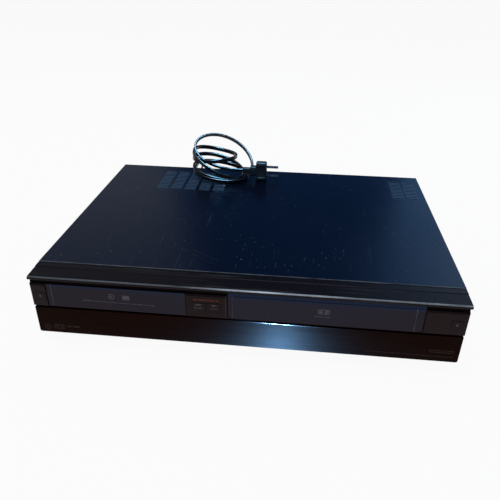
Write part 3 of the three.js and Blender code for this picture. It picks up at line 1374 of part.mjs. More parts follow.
function coilTube(rings) {
  const index = [];
  for (let ring = 0; ring + 1 < rings.length; ring += 1) {
    for (let side = 0; side < coilSides; side += 1) {
      const next = (side + 1) % coilSides;
      const [a, b] = [ring * coilSides + side, ring * coilSides + next];
      index.push(a, b, b + coilSides, a, b + coilSides, a + coilSides);
    }
  }
  const end = (rings.length - 1) * coilSides;
  for (let side = 1; side + 1 < coilSides; side += 1) {
    index.push(0, side + 1, side, end, end + side, end + side + 1);
  }
  const geometry = new THREE.BufferGeometry();
  const values = rings.flat().flatMap((corner) => corner.toArray());
  geometry.setAttribute('position', new THREE.Float32BufferAttribute(values, 3));
  geometry.setIndex(index);
  geometry.computeVertexNormals();
  return geometry;
}

// Least distance between two passes of the coil, measured between the corners of closely spaced sections
function leastCoilGap() {
  const rings = coilRings(coilLine(coilFineSteps * coilSteps));
  const apart = coilFineSteps * coilNearSteps;
  let least = Infinity;
  for (let first = 0; first < rings.length; first += 1) {
    for (let second = first + apart; second < rings.length; second += 1) {
      if (rings[first][0].distanceTo(rings[second][0]) < 6 * leadHalfWidth) {
        rings[first].forEach((a) => rings[second].forEach((b) => {
          least = Math.min(least, a.distanceTo(b));
        }));
      }
    }
  }
  return least;
}
console.log(`coil: least gap to itself ${leastCoilGap().toFixed(2)} mm`);

const coil = coilLine(coilSteps);
addNode(player, 'mains_cord_coil', coilTube(coilRings(coil)), 0x0b0b0c, 0.25, 0);
const coilStart = coil[0].point;
const coilEnd = coil[coil.length - 1].point;

// Free stretch: out of the gland, sagging behind the player, then up and over the rear edge
function freeLead() {
  const points = [[glandX, leadStartY, glandZ], [glandX, leadStartY + leadRun, glandZ], ...leadPoints,
    [coilStart.x, coilStart.y + leadRun, coilStart.z], [coilStart.x, coilStart.y + gap, coilStart.z]];
  const path = new THREE.CatmullRomCurve3(points.map((point) => new THREE.Vector3(...point)));
  const outline = Array.from({ length: leadSides }, (_, side) => {
    const angle = 2 * Math.PI * (side + 0.5) / leadSides;
    return new THREE.Vector2(leadHalfWidth * Math.cos(angle), leadHalfThickness * Math.sin(angle));
  });
  return new THREE.ExtrudeGeometry(new THREE.Shape(outline), { steps: leadSteps, extrudePath: path });
}
addNode(player, 'mains_cord', freeLead(), 0x0b0b0c, 0.25, 0);

// Plug: a flat body on its edge with a stepped neck and two blades
function mainsPlug() {
  const neckStart = plugReliefLength;
  const bodyStart = neckStart + plugNeckLength;
  const bodyEnd = bodyStart + plugBodyLength;
  const half = plugBodyHeight / 2;
  const body = alongZ([[bodyStart, plugBevel - half], [bodyStart + plugBevel, -half],
    [bodyEnd - plugBevel, -half], [bodyEnd, plugBevel - half], [bodyEnd, half - plugBevel],
    [bodyEnd - plugBevel, half], [bodyStart + plugBevel, half], [bodyStart, half - plugBevel]],
  -plugThickness / 2, plugThickness / 2).rotateX(Math.PI / 2);
  const neck = block(neckStart - sheet, bodyStart + sheet, (sheet - plugThickness) / 2,
    (plugThickness - sheet) / 2, -plugNeckHeight / 2, plugNeckHeight / 2);
  const relief = block(0, neckStart, wall - plugThickness / 2, plugThickness / 2 - wall,
    -plugReliefHeight / 2, plugReliefHeight / 2);
  const blades = [-1, 1].map((side) => {
    const z = side * bladeSpacing / 2;
    return block(bodyEnd - sheet, bodyEnd + bladeLength, -bladeWidth / 2, bladeWidth / 2,
      z - plugBladeThickness / 2, z + plugBladeThickness / 2);
  });
  return join(body, neck, relief, ...blades);
}
addNode(player, 'mains_plug', mainsPlug(), 0x0d0d0e, 0.35, 0)
  .position.set(coilEnd.x + gap, coilEnd.y, coilEnd.z);

export default player;
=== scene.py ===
import json
import math

import bpy
from mathutils import Matrix, Vector

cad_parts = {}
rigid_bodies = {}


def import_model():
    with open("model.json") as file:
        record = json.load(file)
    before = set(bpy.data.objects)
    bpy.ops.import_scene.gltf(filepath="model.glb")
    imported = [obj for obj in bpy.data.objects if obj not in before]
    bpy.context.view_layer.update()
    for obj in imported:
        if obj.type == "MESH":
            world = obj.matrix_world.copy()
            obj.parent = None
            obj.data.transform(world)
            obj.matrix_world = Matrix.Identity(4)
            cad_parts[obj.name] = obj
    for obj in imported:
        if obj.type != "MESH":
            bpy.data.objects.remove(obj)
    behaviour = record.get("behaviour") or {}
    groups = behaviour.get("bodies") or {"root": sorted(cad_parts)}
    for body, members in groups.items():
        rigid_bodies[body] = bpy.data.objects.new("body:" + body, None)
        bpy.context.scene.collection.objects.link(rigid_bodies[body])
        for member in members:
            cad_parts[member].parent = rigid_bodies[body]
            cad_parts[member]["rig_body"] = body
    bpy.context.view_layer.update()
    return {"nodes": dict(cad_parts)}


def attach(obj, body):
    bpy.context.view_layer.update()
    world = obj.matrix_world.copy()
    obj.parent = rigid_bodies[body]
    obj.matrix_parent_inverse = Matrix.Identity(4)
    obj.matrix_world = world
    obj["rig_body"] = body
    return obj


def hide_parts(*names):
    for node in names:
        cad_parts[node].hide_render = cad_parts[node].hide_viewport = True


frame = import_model()
bpy.ops.object.select_all(action="DESELECT")
mm = 0.001

# Camera: stands in front of the player, a little to the right of its middle, and looks down on it.
# Its place, direction and lens come from a fit to the corners of the casing in the photograph.
camera_data = bpy.data.cameras.new("photo_camera")
camera_data.lens, camera_data.sensor_width = 37.54, 36
camera_data.clip_start, camera_data.clip_end = 0.01, 50
camera = bpy.data.objects.new("photo_camera", camera_data)
bpy.context.scene.collection.objects.link(camera)
bpy.context.scene.camera = camera
camera.matrix_world = Matrix((
    (0.9944, -0.0605, 0.0865, 48.4 * mm),
    (0.1050, 0.4891, -0.8659, -572.6 * mm),
    (0.0101, 0.8701, 0.4927, 361.8 * mm),
    (0, 0, 0, 1)))


# Light: one broad soft box over the player and cards behind its corners. The slit of a window behind the
# camera and two boxes overhead show in a few glossy pieces alone, as the room in the photograph does.
def soft_box(name, place, target, size, power, colour, glossy_alone=False):
    """A flat lamp, with its size in metres and its power in watts, turned to a target."""
    data = bpy.data.lights.new(name, "AREA")
    data.shape, data.size, data.size_y = "RECTANGLE", *size
    data.energy, data.color = power, colour
    lamp = bpy.data.objects.new(name, data)
    lamp.location = place
    lamp.rotation_euler = (Vector(place) - Vector(target)).to_track_quat("Z", "Y").to_euler()
    if glossy_alone:
        lamp.visible_diffuse = False
        data.cycles.max_bounces = 0
    bpy.context.scene.collection.objects.link(lamp)
    return lamp


window_place, front_middle = (0.01, -1.7, 0.31), (0.01, -0.1, 0.05)
right_half = (0.15, 0, 0.05)
soft_box("top_light", (-0.3, -0.2, 1.7), (0, 0, 0), (1.6, 1.2), 13, (1, 0.985, 0.96))
flap_slit = soft_box("flap_slit", window_place, front_middle, (0.025, 0.56), 8600, (0.045, 0.28, 1), True)
door_slit = soft_box("door_slit", window_place, front_middle, (0.05, 0.56), 180, (0.2, 0.5, 1), True)
lead_glow = soft_box("lead_glow", (0, -0.35, 1.6), (0, 0, 0.1), (0.6, 0.5), 130, (0.22, 0.62, 1), True)
ceiling_strip = soft_box("ceiling_strip", (0.08, -0.22, 1.6), (0.05, -0.16, 0.08), (1.1, 0.2), 40,
                         (0.70, 0.85, 1), True)
soft_box("left_card", (-0.78, 0.95, 0.6), (-0.1, 0, 0.05), (0.9, 0.9), 0.6, (1, 0.90, 0.70))
soft_box("right_card", (0.92, 0.9, 0.62), right_half, (0.75, 0.9), 2.5, (0.55, 0.77, 1))
soft_box("right_glow", (0.44, 0.9, 0.6), right_half, (0.2, 0.9), 0.40, (0.3, 0.58, 1))


def shines_on(lamp, pieces):
    """The lamp shows in these pieces alone."""
    group = bpy.data.collections.new(lamp.name + "_pieces")
    for piece in pieces:
        group.objects.link(piece)
    lamp.light_linking.receiver_collection = group


# Shader sums: a wire is one output of a shader node, and a sum of wires adds the nodes that work it out.
class Wire:
    mix_first, mix_second, mix_result = 6, 7, 2

    def __init__(self, tree, socket):
        self.tree, self.socket = tree, socket

    def join(self, socket, value):
        if isinstance(value, Wire):
            self.tree.links.new(value.socket, socket)
        elif isinstance(value, tuple) and len(socket.default_value) == 4:
            socket.default_value = (*value[:3], 1)
        else:
            socket.default_value = value

    def node(self, kind, settings, sockets, output=0):
        made = self.tree.nodes.new(kind)
        for name, value in settings.items():
            if name == "stops":
                elements = made.color_ramp.elements
                elements.remove(elements[1])
                elements[0].position, elements[0].color = value[0][0], (*value[0][1], 1)
                for position, colour in value[1:]:
                    elements.new(position).color = (*colour, 1)
            else:
                setattr(made, name, value)
        for name, value in sockets.items():
            self.join(made.inputs[name], value)
        return Wire(self.tree, made.outputs[output])

    def maths(self, operation, first, second, third=0.0):
        return self.node("ShaderNodeMath", {"operation": operation}, {0: first, 1: second, 2: third})

    def __add__(self, other):
        return self.maths("ADD", self, other)

    def __radd__(self, other):
        return self.maths("ADD", other, self)

    def __sub__(self, other):
        return self.maths("SUBTRACT", self, other)

    def __rsub__(self, other):
        return self.maths("SUBTRACT", other, self)

    def __mul__(self, other):
        return self.maths("MULTIPLY", self, other)

    def __rmul__(self, other):
        return self.maths("MULTIPLY", other, self)

    def __gt__(self, other):
        return self.maths("GREATER_THAN", self, other)

    def __lt__(self, other):
        return self.maths("LESS_THAN", self, other)

    def axis(self, index):
        return self.node("ShaderNodeSeparateXYZ", {}, {0: self}, index)

    def stretched(self, scale, turn=(0.0, 0.0, 0.0)):
        return self.node("ShaderNodeMapping", {}, {"Vector": self, "Scale": scale, "Rotation": turn})

    def noise(self, scale, detail=2.0):
        return self.node("ShaderNodeTexNoise", {}, {"Vector": self, "Scale": scale, "Detail": detail})

    def cells(self, scale, feature="F1"):
        return self.node("ShaderNodeTexVoronoi", {"feature": feature}, {"Vector": self, "Scale": scale})

    def ramp(self, low, high):
        stops = [(low, (0, 0, 0)), (high, (1, 1, 1))]
        return self.node("ShaderNodeValToRGB", {"stops": stops}, {0: self})

    def inside(self, centre, half):
        """One inside a box of the given half sizes in mm round a point, and nothing outside it."""
        mask = None
        for index in range(3):
            if half[index] is not None:
                within = self.off(index, centre[index]) < half[index] * mm
                mask = mask * within if mask else within
        return mask

    def off(self, index, middle):
        """How far a point is from a middle, which is in mm, along one axis."""
        return self.maths("ABSOLUTE", self.axis(index) - middle * mm, 0.0)

    def mix(self, first, second):
        colours = {0: self, Wire.mix_first: first, Wire.mix_second: second}
        return self.node("ShaderNodeMix", {"data_type": "RGBA"}, colours, Wire.mix_result)

    def bump(self, strength, distance):
        return self.node("ShaderNodeBump", {}, {"Height": self, "Strength": strength, "Distance": distance})


# Room: an even, cool tone on all sides, which is bluer where it shows in gloss. Colours come out as they
# are written.
world = bpy.data.worlds.new("room")
bpy.context.scene.world = world
world.use_nodes = True
tree = world.node_tree
backdrop = tree.nodes["Background"]
shown_in_gloss = Wire(tree, tree.nodes.new("ShaderNodeLightPath").outputs["Is Glossy Ray"])
room_tone = shown_in_gloss.mix((0.140, 0.157, 0.189), (0.020, 0.065, 0.180))
room_tone.join(backdrop.inputs["Color"], room_tone)
backdrop.inputs["Strength"].default_value = 1
bpy.context.scene.view_settings.view_transform = "Standard"


def new_material(name):
    material = bpy.data.materials.new(name)
    material.use_nodes = True
    tree = material.node_tree
    place = Wire(tree, tree.nodes.new("ShaderNodeTexCoord").outputs["Object"])
    return material, tree.nodes["Principled BSDF"], place


def dress(shader, place, sockets):
    for name, value in sockets.items():
        place.join(shader.inputs[name], value)


# Floor: a plain pale sheet of paper under the feet, and the same paper as a ring wall far behind it, which
# the camera alone sees. Both look white, and the floor keeps the shadow of the player.
bpy.ops.mesh.primitive_plane_add(size=12, location=(0, 0, 0))
floor = bpy.context.object
floor.name = "floor"
bpy.ops.mesh.primitive_cylinder_add(
    vertices=96, radius=5.8, depth=4, end_fill_type="NOTHING", location=(0, 0, 1.95))
wall = bpy.context.object
wall.name = "ring_wall"
wall.visible_glossy = wall.visible_diffuse = wall.visible_shadow = False
material, shader, place = new_material("paper")
dress(shader, place, {"Base Color": (0.9, 0.9, 0.9), "Roughness": 0.9, "Specular IOR Level": 0.0})
tree = material.node_tree
rays = tree.nodes.new("ShaderNodeLightPath")
seen = Wire(tree, rays.outputs["Is Camera Ray"]) + Wire(tree, rays.outputs["Is Glossy Ray"])
seen = seen + Wire(tree, rays.outputs["Is Transmission Ray"])
paper_white = 0.94
glow = place.node("ShaderNodeEmission", {}, {"Color": (1, 1, 1), "Strength": 1.0})
paper = Wire(tree, shader.outputs[0])
mixed = place.node("ShaderNodeMixShader", {}, {0: seen * paper_white, 1: paper, 2: glow})
tree.links.new(mixed.socket, tree.nodes["Material Output"].inputs["Surface"])
for sheet in (floor, wall):
    sheet.data.materials.append(material)


# Mains lead: a flat two-core lead in glossy black vinyl. It leaves the gland, sags behind the player and
# comes up over the rear edge into a loose coil of four and a quarter turns on the cover. Each row of the
# coil gives its middle, its height, how far it reaches and how far it leans, at the start of a turn.
lead_core, lead_spread = 1.52 * mm, 1.43 * mm
cover_top = 84
coil_rows = [
    (-62, 117.5, 10, 40, 25, -3.5, 4), (-62, 119, 9, 37.5, 24, -3.5, 4),
    (-68, 123, 15, 36.5, 26, -8.5, 5), (-72.5, 132, 29, 29.5, 24, -0.5, -2),
    (-63, 131, 24.5, 42, 29, -16, 15), (-31.5, 144.5, 38.5, 69, 23, 2, 23)]
coil_first, coil_last, coil_run, points_a_turn = 0.5, 4.75, 5.4 * mm, 48
gland_exit = (-165, 177.5, 34)
free_points = [
    gland_exit, (-165, 185.5, 34), (-161, 196, 32), (-151, 206, 28), (-136, 210, 30),
    (-120, 207, 45), (-107, 198, 66), (-102, 183, 85), (-100.6, 165, 92), (-100.4, 147, 95.5)]


def coil_values(turn):
    row = min(int(turn), len(coil_rows) - 2)
    u = turn - row
    p0, p1, p2, p3 = (coil_rows[min(max(row + step, 0), len(coil_rows) - 1)] for step in (-1, 0, 1, 2))
    return [(2 * b + (c - a) * u + (2 * a - 5 * b + 4 * c - d) * u ** 2
             + (3 * b - a - 3 * c + d) * u ** 3) / 2 for a, b, c, d in zip(p0, p1, p2, p3)]


def coil_place(turn):
    x, y, rise, reach_x, reach_y, lean_x, lean_y = coil_values(turn)
    angle = 2 * math.pi * turn
    across, along = math.cos(angle), math.sin(angle)
    point = Vector((x + reach_x * across, y + reach_y * along, rise + lean_x * across + lean_y * along)) * mm
    return point + Vector((0, 0, cover_top * mm)), Vector((-lean_x / reach_x, -lean_y / reach_y, 1)).normalized()


def smooth_line(points, steps):
    """Points on a smooth curve that passes through all the given ones."""
    ends = [2 * points[0] - points[1], *points, 2 * points[-1] - points[-2]]
    line = []
    for a, b, c, d in zip(ends, ends[1:], ends[2:], ends[3:]):
        before, within, after = ((q - p).length ** 0.5 for p, q in ((a, b), (b, c), (c, d)))
        start = ((b - a) / before - (c - a) / (before + within) + (c - b) / within) * within
        finish = ((c - b) / within - (d - b) / (within + after) + (d - c) / after) * within
        for step in range(steps):
            u = step / steps
            line.append(b * (2 * u ** 3 - 3 * u ** 2 + 1) + start * (u ** 3 - 2 * u ** 2 + u)
                        + c * (3 * u ** 2 - 2 * u ** 3) + finish * (u ** 3 - u ** 2))
    return [*line, points[-1]]


coil_steps = round((coil_last - coil_first) * points_a_turn)
coil = [coil_place(coil_first + (coil_last - coil_first) * step / coil_steps)
        for step in range(coil_steps + 1)]
coil_start = coil[0][0] + Vector((0, coil_run, 0))
coil_end = coil[-1][0] + Vector((coil_run, 0, 0))
last_straight, steps_a_point = 8 * mm, 5
free_ends = [coil_start + Vector((0, last_straight, 0)), coil_start]
free_line = smooth_line([*(Vector(point) * mm for point in free_points), *free_ends], steps_a_point)
lead_line = [*free_line, *(point for point, wide in coil), coil_end]
lead_ahead = [(lead_line[min(i + 1, len(lead_line) - 1)] - lead_line[max(i - 1, 0)]).normalized()
              for i in range(len(lead_line))]
lead_wide = [None] * len(free_line) + [wide for point, wide in coil] + [coil[-1][1]]
wide = coil[0][1]
for index in range(len(free_line) - 1, -1, -1):
    wide = (wide - lead_ahead[index] * wide.dot(lead_ahead[index])).normalized()
    lead_wide[index] = wide

core_angles = [math.radians(angle) for angle in range(-140, 141, 35)]
section = [(lead_spread + lead_core * math.cos(a), lead_core * math.sin(a)) for a in core_angles]
section += [(-x, -y) for x, y in section]
corners, faces = [], []
for point, ahead, wide in zip(lead_line, lead_ahead, lead_wide):
    thin = ahead.cross(wide).normalized()
    up = thin.cross(ahead)
    corners += [point + up * x + thin * y for x, y in section]
sides = len(section)
for ring in range(len(lead_line) - 1):
    for side in range(sides):
        here, there = ring * sides + side, ring * sides + (side + 1) % sides
        faces.append((here, there, there + sides, here + sides))
faces += [tuple(reversed(range(sides))), tuple(range(len(corners) - sides, len(corners)))]
mesh = bpy.data.meshes.new("mains_lead")
mesh.from_pydata(corners, [], faces)
lead = bpy.data.objects.new("mains_lead", mesh)
bpy.context.scene.collection.objects.link(lead)


def pick(piece):
    bpy.ops.object.select_all(action="DESELECT")
    piece.select_set(True)
    bpy.context.view_layer.objects.active = piece


def edit_all(merge=0.0):
    """Opens the active piece in edit mode, all selected, and merges points that lie this close in mm."""
    bpy.ops.object.mode_set(mode="EDIT")
    bpy.ops.mesh.select_all(action="SELECT")
    if merge:
        bpy.ops.mesh.remove_doubles(threshold=merge * mm)


def smooth_flats(sharpest=35):
    """Closes edit mode and smooths the shading, but for edges sharper than the angle."""
    bpy.ops.object.mode_set(mode="OBJECT")
    bpy.ops.object.shade_smooth_by_angle(angle=math.radians(sharpest))


def outward(piece, sharpest=35):
    pick(piece)
    edit_all(0.002)
    bpy.ops.mesh.normals_make_consistent(inside=False)
    smooth_flats(sharpest)


def finished(piece, material, slot, body, *nodes):
    """The piece gets its finish, moves with a body, and stands for the solids that are named."""
    piece.data.materials.clear()
    piece.data.materials.append(material)
    if nodes:
        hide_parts(*nodes)
    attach(piece, body)


outward(lead, 60)
vinyl, shader, place = new_material("cord_vinyl")
grain = place.noise(900.0, 3.0)
dress(shader, place, {
    "Base Color": place.noise(60.0).mix((0.004, 0.005, 0.007), (0.010, 0.011, 0.014)),
    "Roughness": 0.16 + 0.16 * place.noise(220.0, 4.0),
    "Normal": grain.bump(0.12, 0.2 * mm)})
finished(lead, vinyl, "cord_vinyl", "chassis", "mains_cord", "mains_cord_coil")


# Gland: the moulded grommet in the rear panel that grips the lead, and its tapered relief with slots
# that let it flex.
def turned(name, rows, centre, axis, sides=48):
    """A turned piece in mm: a disc drawn out row by row, each row its radius and its height on the axis."""
    rows = [(radius * mm, height * mm) for radius, height in rows]
    bpy.ops.object.select_all(action="DESELECT")
    bpy.ops.mesh.primitive_circle_add(vertices=sides, radius=rows[0][0], fill_type="NGON")
    piece = bpy.context.object
    piece.name = name
    edit_all()
    bpy.ops.transform.translate(value=(0, 0, rows[0][1]))
    for (radius, height), (radius_up, height_up) in zip(rows, rows[1:]):
        bpy.ops.mesh.extrude_region_move(TRANSFORM_OT_translate={"value": (0, 0, height_up - height)})
        scale = radius_up / radius
        bpy.ops.transform.resize(value=(scale, scale, 1), center_override=(0, 0, height_up))
    bpy.ops.object.mode_set(mode="OBJECT")
    turn = Vector(axis).to_track_quat("Z", "Y").to_matrix().to_4x4()
    piece.matrix_world = Matrix.Translation(Vector(centre) * mm) @ turn
    bpy.ops.object.transform_apply()
    outward(piece)
    return piece


def solid_block(name, low, high, bevel=0.0, segments=2):
    """A block between two corners, in mm, with its edges rounded."""
    bpy.ops.object.select_all(action="DESELECT")
    low, high = Vector(low) * mm, Vector(high) * mm
    bpy.ops.mesh.primitive_cube_add(size=1, location=(low + high) / 2)
    piece = bpy.context.object
    piece.name = name
    piece.scale = high - low
    bpy.ops.object.transform_apply(location=True, rotation=True, scale=True)
    if bevel:
        edit_all()
        bpy.ops.mesh.bevel(offset=bevel * mm, segments=segments, affect="EDGES")
        smooth_flats()
    return piece


def carve(piece, tools, operation="DIFFERENCE"):
    """Cuts the tools out of the piece, or joins them to it, and removes them."""
    for tool in tools:
        pick(piece)
        modifier = piece.modifiers.new("carve", "BOOLEAN")
        modifier.operation, modifier.object, modifier.solver = operation, tool, "EXACT"
        bpy.ops.object.modifier_apply(modifier=modifier.name)
        bpy.data.objects.remove(tool)


def merged(name, pieces):
    """Several closed shapes kept as one piece."""
    bpy.ops.object.select_all(action="DESELECT")
    for piece in pieces:
        piece.select_set(True)
    bpy.context.view_layer.objects.active = pieces[0]
    bpy.ops.object.join()
    pieces[0].name = name
    return pieces[0]


ribs, rib_gap, rib_depth = 12, 0.6, 0.7
relief = [(5.1 - 1.2 * step / ribs, 2 + 22 * step / ribs) for step in range(ribs + 1)]
ribbed = []
for (radius, height), (radius_up, height_up) in zip(relief, relief[1:]):
    ribbed += [(radius, height), (radius, height_up - rib_gap), (radius - rib_depth, height_up - 0.55),
               (radius - rib_depth, height_up - 0.05)]
gland_rows = [(6, -3.3), (6, 0), (7.6, 0.01), (8, 0.4), (8, 1.6), (7.6, 2), *ribbed, (3.9, 24)]
gland = turned("lead_gland", gland_rows, (-165, 153.2, 34), (0, 1, 0), 32)
plug_vinyl, shader, place = new_material("plug_vinyl")
dress(shader, place, {
    "Base Color": place.noise(90.0, 3.0).mix((0.006, 0.007, 0.009), (0.016, 0.018, 0.023)),
    "Roughness": 0.42 + 0.2 * place.noise(400.0, 4.0), "Specular IOR Level": 0.35,
    "Normal": place.noise(1600.0, 3.0).bump(0.25, 0.1 * mm)})
finished(gland, plug_vinyl, "plug_vinyl", "chassis", "cord_gland")

# Plug: a moulded two-blade plug that lies on its edge, with a sunk grip pad on either side, a stepped neck
# and a slotted relief. The blades are nickel-plated, each with its hole.
plug_foot = coil_end / mm + Vector((0.3, 0, 0))
blade_out, blade_half_height, blade_half_thickness = 6.35, 3.17, 0.75


def plug_block(low, high, bevel, segments=3):
    return solid_block("plug", Vector(low) + plug_foot, Vector(high) + plug_foot, bevel, segments)


body = plug_block((18.8, -5, -13.5), (33.8, 5, 13.5), 2.4, 4)
pads = [plug_block((20.6, side * 5 - 0.5, -8.5), (31.5, side * 5 + 0.5, 8.5), 0.45) for side in (-1, 1)]
carve(body, pads)
neck = plug_block((10.5, -4.5, -6.8), (19.4, 4.5, 6.8), 1.4)
relief_block = plug_block((0, -3, -4), (11.2, 3, 4), 1.2)
slot_pitch, slot_rise, slot_half = 2.2, (-1.6, 1.6, -1.6, 1.6), 1.2
slots = [plug_block((2 + slot_pitch * row, side * 4.4 - 2.4, slot_rise[row] - slot_half),
                    (3 + slot_pitch * row, side * 4.4 + 2.4, slot_rise[row] + slot_half), 0.0)
         for row in range(4) for side in (-1, 1)]
carve(relief_block, slots)
plug = merged("mains_plug_body", [body, neck, relief_block])
outward(plug)
finished(plug, plug_vinyl, "plug_vinyl", "chassis", "mains_plug")
blades = []
for side in (-1, 1):
    blade = plug_block((33, -blade_half_height, side * blade_out - blade_half_thickness),
                       (49.7, blade_half_height, side * blade_out + blade_half_thickness), 0.3)
    hole_middle = plug_foot + Vector((46.2, 0, side * blade_out))
    hole = turned("hole", [(1.6, -3), (1.6, 3)], hole_middle, (0, 0, 1), 24)
    carve(blade, [hole])
    blades.append(blade)
blade_pair = merged("plug_blades", blades)
nickel, shader, place = new_material("plug_nickel")
dress(shader, place, {
    "Base Color": place.noise(300.0, 3.0).mix((0.13, 0.14, 0.15), (0.22, 0.23, 0.24)),
    "Metallic": 1.0, "Roughness": 0.30 + 0.2 * place.stretched((60, 900, 900)).noise(1.0, 3.0)})
finished(blade_pair, nickel, "bright_steel", "chassis")
shines_on(lead_glow, [lead, plug])


# Top cover: one sheet of steel folded down at both sides, with seven columns of punched vents, in
# blue-black semi-gloss paint that has picked up fine scratches and dust. The webs between the vents are
# painted pale blue, for dust and a painted sheen, and a pale broken line is painted along the front edge.
def refined(node, name, width, material, slot, segments=2):
    """A copy of a solid with its flat faces made whole and its edges rounded, which stands for it."""
    piece = bpy.data.objects.new(name, frame["nodes"][node].data.copy())
    bpy.context.scene.collection.objects.link(piece)
    piece.data.materials.clear()
    pick(piece)
    edit_all(0.002)
    bpy.ops.mesh.dissolve_limited(angle_limit=math.radians(0.5))
    bpy.ops.object.mode_set(mode="OBJECT")
    modifier = piece.modifiers.new("edges", "BEVEL")
    modifier.width, modifier.segments = width * mm, segments
    modifier.limit_method, modifier.angle_limit = "ANGLE", math.radians(30)
    bpy.ops.object.modifier_apply(modifier=modifier.name)
    bpy.ops.object.shade_smooth_by_angle(angle=math.radians(35))
    modifier = piece.modifiers.new("flat_faces", "WEIGHTED_NORMAL")
    modifier.mode, modifier.weight, modifier.keep_sharp = "FACE_AREA", 100, True
    bpy.ops.object.modifier_apply(modifier=modifier.name)
    stand_for(piece, node, material, slot)
    return piece


def stand_for(piece, node, material, slot):
    """The piece gets its finish and takes the place of a solid, whose motion it follows."""
    finished(piece, material, slot, frame["nodes"][node]["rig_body"], node)


cover_paint, shader, place = new_material("cover_paint")
hairs = [place.stretched(stretch, (0, 0, turn)).noise(1.0, 1.0) > rarity for stretch, turn, rarity in (
    ((900, 9, 9), 0.5, 0.76), ((1100, 8, 9), -1.1, 0.77), ((800, 12, 9), 2.3, 0.765))]
scratches = sum(hairs[1:], hairs[0]) * (place.noise(14.0) > 0.53)
specks = (place.cells(190.0) < 0.10) * (place.noise(21.0) > 0.53)
long_scratches = (((-71.9, -91.0), (-32.7, -119.5)), ((-62.9, -89.9), (-31.0, -111.6)),
                  ((90.4, -88), (90.1, -102)))
for scratch_start, scratch_end in long_scratches:
    along = Vector(scratch_end) - Vector(scratch_start)
    middle = (Vector(scratch_start) + Vector(scratch_end)) / 2 * mm
    flat = place.node("ShaderNodeMapping", {"vector_type": "TEXTURE"}, {
        "Vector": place, "Location": (middle.x, middle.y, 0.0),
        "Rotation": (0.0, 0.0, math.atan2(along.y, along.x))})
    line = flat.inside((0, 0, cover_top), (along.length / 2, 0.16, 1))
    scratches = scratches + line * (place.noise(160.0) > 0.46)
# A pale, broken line is painted along the cover's front edge.
pale_front_edge = (place.axis(1) < -132.9 * mm) * place.stretched((60, 20, 20)).noise(1.0, 4.0).ramp(0.10, 0.65)
cover_marks = scratches * 0.2 + specks * 0.7 + pale_front_edge * 0.8
film = place.noise(7.0, 4.0).ramp(0.35, 0.75)
paint = film.mix((0.0010, 0.0034, 0.0125), (0.0017, 0.0050, 0.0160))
vent_half_length, left_half_pitch, right_half_pitch = 7.3 * mm, 9.6 * mm, 9.25 * mm
left_middle, right_middle = (-99.1, 102.5, cover_top), (189.25, 105, cover_top)
left_slots = place.maths("WRAP", place.axis(0) - left_middle[0] * mm, left_half_pitch, -left_half_pitch)
left_vents = (place.maths("ABSOLUTE", left_slots, 0.0) < vent_half_length) * place.inside(
    left_middle, (47, 32, 3))
right_slots = place.off(0, right_middle[0]) - right_half_pitch
right_vents = (place.maths("ABSOLUTE", right_slots, 0.0) < vent_half_length) * place.inside(
    right_middle, (17, 29.5, 3))
# Dust and painted sheen: the webs between the vent slots are painted pale blue, for the dust on them and for the
# light the louvres catch.
vent_dust_and_sheen = (left_vents + right_vents) * (0.6 + 0.4 * place.noise(180.0, 3.0))
paint = vent_dust_and_sheen.mix(paint, (0.055, 0.115, 0.205))
dress(shader, place, {
    "Base Color": cover_marks.mix(paint, (0.22, 0.24, 0.26)),
    "Roughness": 0.22 + 0.08 * film + 0.25 * cover_marks + 0.05 * place.noise(1500.0, 2.0),
    "Specular IOR Level": 0.3, "Specular Tint": (0.35, 0.6, 1.0),
    "Normal": (place.noise(1500.0, 2.0) + 0.6 * place.noise(350.0, 2.0)).bump(0.10, 0.10 * mm)})
refined("top_cover", "folded_cover", 0.25, cover_paint, "cover_steel")

# Front moulding: one deep frame in brown-black plastic, with the sloping lip, the groove and the seam, and
# the panel behind the drop flap. Its upper edge is rubbed and a little dusty. A pale blue highlight is painted
# along the nose, and pale highlights are painted down the edges and creases of the doors.
front_plastic, shader, place = new_material("front_plastic")
face_y, door_crown, lip_bottom, rub_bottom, hollow_top = -161.2, 72.2 * mm, 74.9 * mm, 76.5 * mm, 78.5 * mm
upper = place.axis(2) > rub_bottom
dust = (place.cells(210.0) < 0.065) * (place.noise(45.0) > 0.56)
rub = place.stretched((14, 300, 300)).noise(1.0, 4.0).ramp(0.60, 0.72) * upper
grain = place.noise(2600.0, 2.0)
# Painted highlight: a pale blue line along the top of the nose, brightest just right of the middle and broken by
# noise.
painted_nose_highlight = place.inside((0, -160.9, 82), (None, 0.9, 0.6))
painted_nose_highlight = painted_nose_highlight * place.stretched((25, 20, 20)).noise(1.0, 4.0).ramp(0.05, 0.6)
painted_nose_highlight = painted_nose_highlight * place.node("ShaderNodeValToRGB", {"stops": [
    (0.35, (0.15,) * 3), (0.56, (1.0,) * 3), (0.78, (0.42,) * 3)]}, {0: place.axis(0) * 2.5 + 0.5})
door_top = (place.axis(2) > door_crown) * (place.axis(2) < lip_bottom)
hollow = (place.axis(2) > lip_bottom) * (place.axis(2) < hollow_top) * (place.axis(1) > -161.1 * mm)
# Painted highlights: pale lines down the edges and creases of the two doors, broken by noise, where those edges
# catch light.
painted_edge_highlights = 0.0
for x, strength in ((-197.7, 0.2), (-192.6, 0.9), (-16.0, 0.5), (-9.4, 0.5), (165.9, 1.0)):
    painted_edge_highlights = place.inside((x, face_y, 61.5), (0.28, 1, 13.5)) * strength + painted_edge_highlights
painted_edge_highlights = painted_edge_highlights * place.stretched((30, 30, 90)).noise(1.0, 4.0).ramp(0.25, 0.65)
plain = upper.mix((0.0074, 0.0034, 0.0036), (0.0034, 0.0029, 0.0034))
